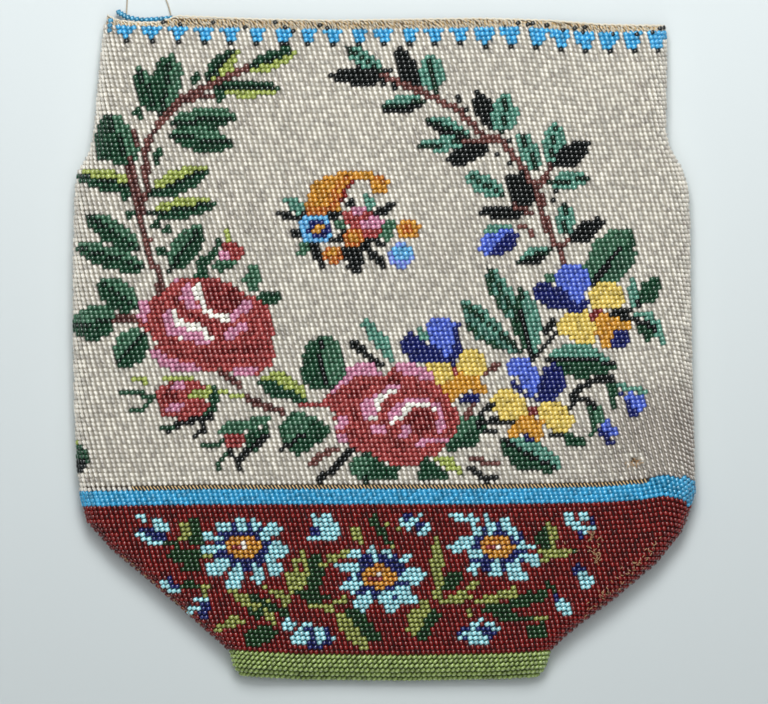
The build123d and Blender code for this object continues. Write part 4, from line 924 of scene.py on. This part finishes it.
def cloth_material():
    """The knitted cloth, deepened by the beads over it through its colour attribute of painted shade, with a
    fine speckle.
    """
    material, tree, shader = surface("knitted_ground", 0.8)
    place = node(tree, "ShaderNodeTexCoord").outputs["Object"]
    cloth_shade = node(tree, "ShaderNodeVertexColor", layer_name="painted_bead_shade").outputs[0]
    speck = node(tree, "ShaderNodeTexNoise", {"Vector": place, "Scale": 1800.0, "Detail": 2.0}).outputs[0]
    shade = node(tree, "ShaderNodeMapRange", {0: speck, 1: 0.3, 2: 0.7, 3: 0.0, 4: 0.5}).outputs[0]
    tree.links.new(blend(tree, shade, cloth_shade, CLOTH_SPECK), shader.inputs["Base Color"])
    bump = node(tree, "ShaderNodeBump", {"Height": speck, "Strength": 0.4, "Distance": 0.0002})
    tree.links.new(bump.outputs[0], shader.inputs["Normal"])
    return material


# The cloth's colour at the mouth, along the bare row, under the cream beads and seen through the hole, its
# share of a bead's second tone elsewhere, and its dark specks in linear light. All but the beige under the
# cream
# beads are painted shade: dark colours for the shade in the gaps between threads and beads and inside the
# hole
MOUTH_CLOTH_SHADE, BARE_CLOTH_SHADE, CREAM_CLOTH, HOLE_SHADE = (120, 98, 66), (66, 48, 26), (186, 180, 166), (22, 14, 10)
CLOTH_SHADE_SHARE, CLOTH_SPECK = 0.6, (0.02, 0.015, 0.01, 1.0)
# The glass of most colours, and of those that differ: a painted glow for light that reaches the eye through a
# bead, its polish, the width and share of its painted lit core,
# and the share of its ends darkened by painted shade
PAINTED_GLOW, COAT_WEIGHT, PAINTED_LIGHT_WIDTH, PAINTED_LIGHT_SHARE, END_SHADE_SHARE = 0.06, 1.0, 0.15, 0.45, 0.65
PAINTED_GLOWS = {"cream": 0.2, "black": 0.0, "dark": 0.02, "navy": 0.03, "forest": 0.02}
COAT_WEIGHTS = {"cream": 0.25, "garnet": 0.7}
PAINTED_LIGHT_WIDTHS = {"cream": 0.1}
PAINTED_LIGHT_SHARES = {"cream": 0.75, "garnet": 0.3, "dark": 0.3, "black": 0.2, "navy": 0.3, "forest": 0.3,
               "white": 0.5}
END_SHADE_SHARES = {"cream": 0.4}
strung_glass = bead_group()
glass = {name: bead_material(name) for name in COLOUR_NAMES}
pale_highlight_thread = thread_material("pale_highlight_thread", (255, 250, 236), (216, 202, 172), 3200.0)
tan_thread = thread_material("tan_thread", (212, 178, 128), (140, 96, 66), 2600.0)
gold_thread = thread_material("gold_thread", (255, 228, 172), (198, 154, 92), 3200.0)


def bead_cells(tone):
    """Chart cells for beads: a random column, and the row that the tone falls in."""
    column = dice.integers(0, CELLS, tone.size)
    return np.stack([column, np.clip(np.floor(tone * CELLS), 0, CELLS - 1)], -1).astype(float)


def bead_sizes(count, halves):
    """Half sizes of a row of beads, each a few percent off the mean."""
    return np.array(halves) * dice.normal(1, BEAD_SPREAD, (count, 3))


def laid_beads():
    """All the beads as sets of arrays by colour name: the charted front, and a plain back."""
    row, run, py = lattice(True)
    places, side, rise, out = skin_frames(run, py, BEAD_TALL, True)
    px = MIDDLE_X + places[:, 0] / PIXEL
    colour, tone = chart(row, px, py)
    hole = np.hypot(px - HOLE[0], py - HOLE[1])
    worn = hole < HOLE_RIM
    tone[worn] = WORN_TONE
    wider = [colour == NUMBER_OF[name] for name in BEAD_TONE_SPREADS]
    spread = np.select(wider, list(BEAD_TONE_SPREADS.values()), TONE_SPREAD)
    tone += spread * dice.normal(0, 1, row.size)
    bare = (row == BARE_ROW) & (px > BARE_ENDS[0]) & (px < BARE_ENDS[1])
    kept = (hole > HOLE_SIZE) & ~bare
    sets = {name: [] for name in COLOUR_NAMES}
    base, cream, garnet = [colour == NUMBER_OF[name] for name in ("base", "cream", "garnet")]
    slant = np.select([base, cream, garnet], [BASE_SLANT, CREAM_SLANT, GARNET_SLANT], SLANT)
    slant = slant + dice.normal(0, SLANT_SPREAD, row.size)
    sizes = bead_sizes(row.size, BEAD)
    sizes[base] = bead_sizes(base.sum(), BASE_BEAD)
    small = (row >= FIRST_GARNET_ROW) & ~base
    sizes[small] *= BOWL_BEAD_SHARE
    sizes[cream] = bead_sizes(cream.sum(), CREAM_BEAD)
    sizes[garnet] = bead_sizes(garnet.sum(), GARNET_BEAD)
    cells = bead_cells(tone)
    halves = {"cream": (py < CREAM_SPLIT_Y, py >= CREAM_SPLIT_Y)}
    for number, name in enumerate(COLOUR_NAMES):
        for part in halves.get(name, (py > 0,)):
            mine = kept & (colour == number) & part
            sets[name].append(strung(FULL_BEAD, places[mine], side[mine], rise[mine], out[mine], slant[mine],
                                     sizes[mine], cells[mine]))
    row, run, py = lattice(False)
    places, side, rise, out = skin_frames(run, py, BEAD_TALL, False)
    zones = {"cream": row < BARE_ROW, "blue": (row > BARE_ROW) & (row < FIRST_GARNET_ROW),
             "garnet": (row >= FIRST_GARNET_ROW) & (row < FIRST_BASE_ROW), "base": row >= FIRST_BASE_ROW}
    for name, mine in zones.items():
        count = mine.sum()
        sizes = bead_sizes(count, BACK_BEAD)
        cells = bead_cells(dice.normal(BACK_TONE, BACK_SPREAD, count))
        sets[name].append(strung(PLAIN_BEAD, places[mine], side[mine], rise[mine], out[mine], SLANT,
                                 sizes, cells))
    return sets


def on_front(pixels, depth):
    """Frames on the front skin at pixel places."""
    points = np.array(pixels, float)
    return skin_frames((points[:, 0] - MIDDLE_X) * PIXEL, points[:, 1], depth, True)


def along_route(pixels, count):
    """Evenly spaced pixel places along a route."""
    points = np.array(pixels, float)
    reach = np.concatenate([[0], np.cumsum(np.hypot(*np.diff(points, axis=0).T))])
    spots = np.linspace(0, reach[-1], count)
    return np.stack([np.interp(spots, reach, points[:, 0]), np.interp(spots, reach, points[:, 1])], -1)


def tube_faces(rings, sides):
    """The triangles of a tube, two for each side between each ring of corners and the next."""
    at = np.arange(rings - 1)[:, None] * sides
    here, ahead = np.arange(sides)[None], ((np.arange(sides) + 1) % sides)[None]
    return np.concatenate([
        np.stack([at + here, at + sides + here, at + sides + ahead], -1).reshape(-1, 3),
        np.stack([at + here, at + sides + ahead, at + ahead], -1).reshape(-1, 3),
    ])


def tube(path, radius, sides=6):
    """A round thread along a path: a ring of corners at each point, square to the run there."""
    run = unit(np.gradient(path, axis=0))
    aside = unit(np.cross(run, [0.0, 0.0, 1.0]))
    above = np.cross(aside, run)
    turn = 2 * math.pi * np.arange(sides) / sides
    spokes = np.cos(turn)[None, :, None] * aside[:, None] + np.sin(turn)[None, :, None] * above[:, None]
    rings = path[:, None] + radius * spokes
    faces = tube_faces(len(path), sides)
    ends = np.arange(1, sides - 1)
    start = np.stack([np.zeros_like(ends), ends, ends + 1], -1)
    finish = (len(path) - 1) * sides + start[:, ::-1]
    corners = rings.reshape(-1, 3)
    return corners, np.concatenate([faces, start, finish]), np.zeros((len(corners), 2))


def cloth_shade_colours(level, places, py, front):
    """The cloth's colour at places of one face, mostly painted shade: a share of the second tone of the bead
    that lies there.
    """
    row = np.clip(np.round((level - FIRST_ROW_Y) / ROW_PITCH), 0, ROW_COUNT - 1).astype(int).ravel()
    px = MIDDLE_X + places[..., 0].ravel() / PIXEL
    colour = chart(row, px, py.ravel())[0] if front else zone_colours(row)
    # Painted shade: under each coloured bead the cloth takes a darkened share of the bead's second tone
    deep = np.array([linear(np.array(BEAD_COLOURS[name][3]) * CLOTH_SHADE_SHARE) for name in COLOUR_NAMES])
    deep[NUMBER_OF["cream"]] = linear(CREAM_CLOTH)
    cloth_shade = deep[colour]
    cloth_shade[level.ravel() < FIRST_ROW_Y - ROW_PITCH / 2] = linear(MOUTH_CLOTH_SHADE)
    cloth_shade[(row == BARE_ROW) & (colour == NUMBER_OF["cream"])] = linear(BARE_CLOTH_SHADE)
    if not front:
        # Painted shade: the back's inside seen through the hole is near black
        cloth_shade[np.hypot(px - HOLE[0], py.ravel() - HOLE[1]) < HOLE_RIM] = linear(HOLE_SHADE)
    return cloth_shade.reshape(level.shape + (4,))


def ground_cloth():
    """The knitted cloth: a tube of sections from the mouth to the foot, front and back runs joined at the
    edges, pressed together at the foot, open where the hole is worn through, and a colour of painted shade at
    each point."""
    rows, columns = CLOTH_ROWS, CLOTH_COLUMNS
    level = np.linspace(*CLOTH_LEVELS, rows)[:, None] + np.zeros((1, columns))
    share = np.linspace(-1, 1, columns)[None] + np.zeros((rows, 1))
    faces, cloth_shades = [], []
    for front in (True, False):
        fall = FALL_FRONT if front else FALL_BACK
        reach = fall_table(fall)[0][-1] - fall
        left = (edge_at(LEFT_EDGE, level) - MIDDLE_X) * PIXEL - reach
        right = (edge_at(RIGHT_EDGE, level) - MIDDLE_X) * PIXEL + reach
        run = (left + right) / 2 + share * (right - left) / 2
        px = MIDDLE_X + run / PIXEL
        py = np.clip(level + row_dip(px, level), between(RIM, px) + CLOTH_MARGIN, FOOT_Y + CLOTH_MARGIN)
        faces.append(skin(run.ravel(), py.ravel(), GROUND_DEPTH, front).reshape(rows, columns, 3))
        cloth_shades.append(cloth_shade_colours(level, faces[-1], py, front))
    section = np.concatenate([faces[0], faces[1][:, ::-1]], 1)
    foot = section[-1:].copy()
    foot[..., 2] = FOOT_THICK
    section = np.concatenate([section, foot])
    cloth_shade = np.concatenate([cloth_shades[0], cloth_shades[1][:, ::-1]], 1)
    cloth_shade = np.concatenate([cloth_shade, cloth_shade[-1:]]).reshape(-1, 4)
    around = section.shape[1]
    triangles = tube_faces(len(section), around)
    corners = section.reshape(-1, 3)
    middle = corners[triangles].mean(1)
    hole = np.hypot(MIDDLE_X + middle[:, 0] / PIXEL - HOLE[0], MIDDLE_Y - middle[:, 1] / PIXEL - HOLE[1])
    triangles = triangles[(hole > HOLE_SIZE) | (middle[:, 2] < HALF_THICK)]
    down = np.append(level[:, 0], level[-1, 0])[:, None] / IMAGE_HIGH + np.zeros((1, around))
    across = np.linspace(0, 1, around)[None] + np.zeros((len(section), 1))
    return (corners, triangles, np.stack([across, down], -1).reshape(-1, 2)), cloth_shade


def stitches(pixels, depth, slant, long, thin):
    """Slanted thread legs on the front at pixel places."""
    places, side, rise, out = on_front(pixels, depth)
    count = len(places)
    sizes = bead_sizes(count, (long, thin, thin))
    slants = slant + dice.normal(0, STITCH_SLANT_SPREAD, count)
    return strung(FULL_BEAD, places, side, rise, out, slants, sizes, np.zeros((count, 2)))


# How deep under the skin, in metres, things lie that are not in the bead lattice
BACK_EDGE_DEPTH, CORNER_DEPTH, STEEL_DEPTH, RIM_DEPTH = 0.0034, 0.0004, 0.0005, 0.0004
FRAY_DEPTH, WORN_DEPTH, BARE_DEPTH, LOOP_DEPTH, PALE_HIGHLIGHT_LOOP_DEPTH = -0.00012, 0.0001, 0.0004, 0.0005, 0.0002
# Threads: beads in the back's row, points and radius of a fray, and stitches as shares of a whole one
BACK_EDGE_COUNT, FRAY_POINTS, FRAY_RADIUS = 13, 9, 0.0001
WORN_LONG, WORN_THIN = STITCH_LONG * 0.5, STITCH_THIN * 0.6
BARE_LONG, BARE_THIN, BARE_PITCH = STITCH_LONG * 0.8, STITCH_THIN * 0.9, COLUMN_PITCH * 0.7
# The looped edging: its ends and number of loops, each row's share of the way from rim to beads and its
# slant, the scatter of its loops in pixels, its stitches, and the waving thread on the rim. Every other loop
# and the rim thread are pale: partly the cream thread's colour, partly a painted highlight
RIM_START, RIM_END, RIM_LOOPS = 104, 668, 300
LOOP_ROWS, LOOP_SCATTER = ((0.2, -0.6), (0.45, -1.0), (0.7, -0.75), (0.95, -1.0)), 0.6
LOOP_LONG, LOOP_THIN = STITCH_LONG * 0.6, STITCH_THIN * 0.65
RIM_WAVE, RIM_TURN, RIM_RADIUS = 0.5, 0.9, 0.00022

sets = laid_beads()
back_row = along_route(BACK_EDGE_ROW, BACK_EDGE_COUNT)
edge_frames = zip(on_front(back_row, BACK_EDGE_DEPTH), on_front(CORNER_BEADS, CORNER_DEPTH))
places, side, rise, out = [np.concatenate(pair) for pair in edge_frames]
count = len(places)
edge_beads = strung(FULL_BEAD, places, side, rise, out, EDGE_SLANT,
                    bead_sizes(count, BEAD), bead_cells(np.full(count, EDGE_TONE)))
sets["border"][0] = joined(sets["border"][0], edge_beads)
for name, parts in sets.items():
    cad_node, slot = BEAD_COLOURS[name][:2]
    titles = ["upper", "lower", "back"] if name == "cream" else ["front", "back"]
    for title, part in zip(titles, parts):
        piece(cad_node + "_" + title, *part, glass[name], [cad_node], slot)

frays = []
for route in FRAYS:
    spots = along_route(route, FRAY_POINTS)
    spots[1:-1] = (spots[:-2] + 2 * spots[1:-1] + spots[2:]) / 4
    frays.append(tube(on_front(spots, FRAY_DEPTH)[0], FRAY_RADIUS))
bare_x = np.arange(*BARE_ENDS, BARE_PITCH)
bare = np.stack([bare_x, np.full(bare_x.size, FIRST_ROW_Y + ROW_PITCH * BARE_ROW)], -1)
bare[:, 1] += row_dip(bare[:, 0], bare[:, 1])
cloth_mesh, cloth_shade = ground_cloth()
cloth = piece("knitted_cloth", *cloth_mesh, cloth_material(), ["knit_ground"], "tan_thread")
cloth_shades = cloth.data.color_attributes.new("painted_bead_shade", "FLOAT_COLOR", "POINT")
cloth_shades.data.foreach_set("color", cloth_shade.astype(np.float32).ravel())
for route, count, scatter in WORN_PLACES:
    spots = along_route(route, count) + dice.normal(0, scatter, (count, 2))
    least, most = [edge_at(edge, spots[:, 1]) for edge in (LEFT_EDGE, RIGHT_EDGE)]
    spots[:, 0] = np.clip(spots[:, 0], least + WORN_MARGIN, most - WORN_MARGIN)
    slants = dice.uniform(-WORN_SLANT, WORN_SLANT, count)
    frays.append(stitches(spots, WORN_DEPTH, slants, WORN_LONG, WORN_THIN))
piece("worn_threads", *joined(*frays), tan_thread, ["knit_ground"], "tan_thread")
bare_row = stitches(bare, BARE_DEPTH, BARE_SLANT, BARE_LONG, BARE_THIN)
piece("bare_row_stitches", *bare_row, gold_thread, ["knit_ground"], "tan_thread")

# Pale loops and rim thread: partly the cream thread's colour, partly a painted highlight
loops, lights = [], []
rim_x = np.linspace(RIM_START, RIM_END, RIM_LOOPS)
rim_y = between(RIM, rim_x)
bead_top = FIRST_ROW_Y + between(MOUTH_DIP, rim_x) - ROW_PITCH / 2
for share, slant in LOOP_ROWS:
    spots = np.stack([rim_x, rim_y + share * (bead_top - rim_y)], -1)
    spots += dice.normal(0, LOOP_SCATTER, (RIM_LOOPS, 2))
    loops.append(stitches(spots[0::2], LOOP_DEPTH, slant, LOOP_LONG, LOOP_THIN))
    lights.append(stitches(spots[1::2], PALE_HIGHLIGHT_LOOP_DEPTH, slant, LOOP_LONG, LOOP_THIN))
rim = np.stack([rim_x, rim_y + RIM_WAVE * np.sin(rim_x * RIM_TURN)], -1)
lights.append(tube(on_front(rim, RIM_DEPTH)[0], RIM_RADIUS))
piece("edging_pale_highlight_threads", *joined(*lights), pale_highlight_thread, ["mouth_edging"], "gold_thread")
piece("looped_edging", *joined(*loops), gold_thread, ["mouth_edging"], "gold_thread")
places, side, rise, out = on_front(STEEL_BEADS, STEEL_DEPTH)
count = len(places)
steel = strung(FULL_BEAD, places, side, rise, out, STEEL_SLANT,
               bead_sizes(count, BEAD), bead_cells(np.full(count, STEEL_TONE)))
piece("edging_steel_beads", *steel, glass["black"], ["mouth_edging"], "black_glass")

curve = bpy.data.curves.new("loose_thread_line", "CURVE")
curve.dimensions = "3D"
spline = curve.splines.new("NURBS")
spline.points.add(len(THREAD_ROUTE) - 1)
spline.points.foreach_set("co", np.column_stack([np.array(THREAD_ROUTE), np.ones(len(THREAD_ROUTE))]).ravel())
spline.order_u = 3
spline.use_endpoint_u = True
spline.resolution_u = 10
curve.bevel_depth = THREAD_DIAMETER / 2
curve.bevel_resolution = 3
curve.use_fill_caps = True
curve.materials.append(thread_material("loose_thread", (206, 196, 176), (168, 154, 130), 3200.0))
loose = bpy.data.objects.new("loose_thread_loop", curve)
bpy.context.scene.collection.objects.link(loose)
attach(loose, "root")
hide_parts("loose_thread")

# The pale floor, soft light from the head of the table, and the camera straight above
floor_mesh = bpy.data.meshes.new("floor")
floor_corners = [(-FLOOR_HALF, -FLOOR_HALF, 0), (FLOOR_HALF, -FLOOR_HALF, 0), (FLOOR_HALF, FLOOR_HALF, 0),
                 (-FLOOR_HALF, FLOOR_HALF, 0)]
floor_mesh.from_pydata(floor_corners, [], [(0, 1, 2, 3)])
floor = bpy.data.objects.new("floor", floor_mesh)
floor_material, floor_tree, floor_shader = surface("pale_paper", 0.8)
# Painted shade: the floor darkens towards the bottom of the picture, away from the window lamp
place = node(floor_tree, "ShaderNodeTexCoord").outputs["Object"]
up_table = node(floor_tree, "ShaderNodeSeparateXYZ", {0: place}).outputs["Y"]
near, far = FLOOR_SHADE_FROM
far_share = node(floor_tree, "ShaderNodeMapRange", {0: up_table, 1: near, 2: far}).outputs[0]
painted_floor_shade = blend(floor_tree, far_share, linear(FLOOR_SHADED), linear(FLOOR_LIT))
floor_tree.links.new(painted_floor_shade, floor_shader.inputs["Base Color"])
floor_mesh.materials.append(floor_material)
bpy.context.scene.collection.objects.link(floor)

world = bpy.data.worlds.new("studio")
world.use_nodes = True
world.node_tree.nodes["Background"].inputs[0].default_value = linear(ROOM)
world.node_tree.nodes["Background"].inputs[1].default_value = ROOM_STRENGTH
bpy.context.scene.world = world


def soft_lamp(name, place, size, power):
    """A square lamp that looks at the bag's middle."""
    lamp = bpy.data.lights.new(name, "AREA")
    lamp.size = size
    lamp.energy = power
    made = bpy.data.objects.new(name, lamp)
    made.location = place
    made.visible_camera = False
    ahead = -np.array(place) / np.linalg.norm(place)
    made.rotation_euler = (math.acos(-ahead[2]), 0, math.atan2(ahead[0], -ahead[1]) + math.pi)
    bpy.context.scene.collection.objects.link(made)


for lamp_row in LAMPS:
    soft_lamp(*lamp_row)

camera_data = bpy.data.cameras.new("camera")
camera_data.lens = LENS
camera_data.sensor_width = SENSOR
camera_data.sensor_fit = "HORIZONTAL"
camera = bpy.data.objects.new("camera", camera_data)
camera_height = IMAGE_WIDE * PIXEL * LENS / SENSOR + SCALE_HEIGHT
camera.location = (0, (MIDDLE_Y - IMAGE_HIGH / 2) * PIXEL, camera_height)
bpy.context.scene.collection.objects.link(camera)
bpy.context.scene.camera = camera
bpy.context.scene.view_settings.view_transform = "Standard"
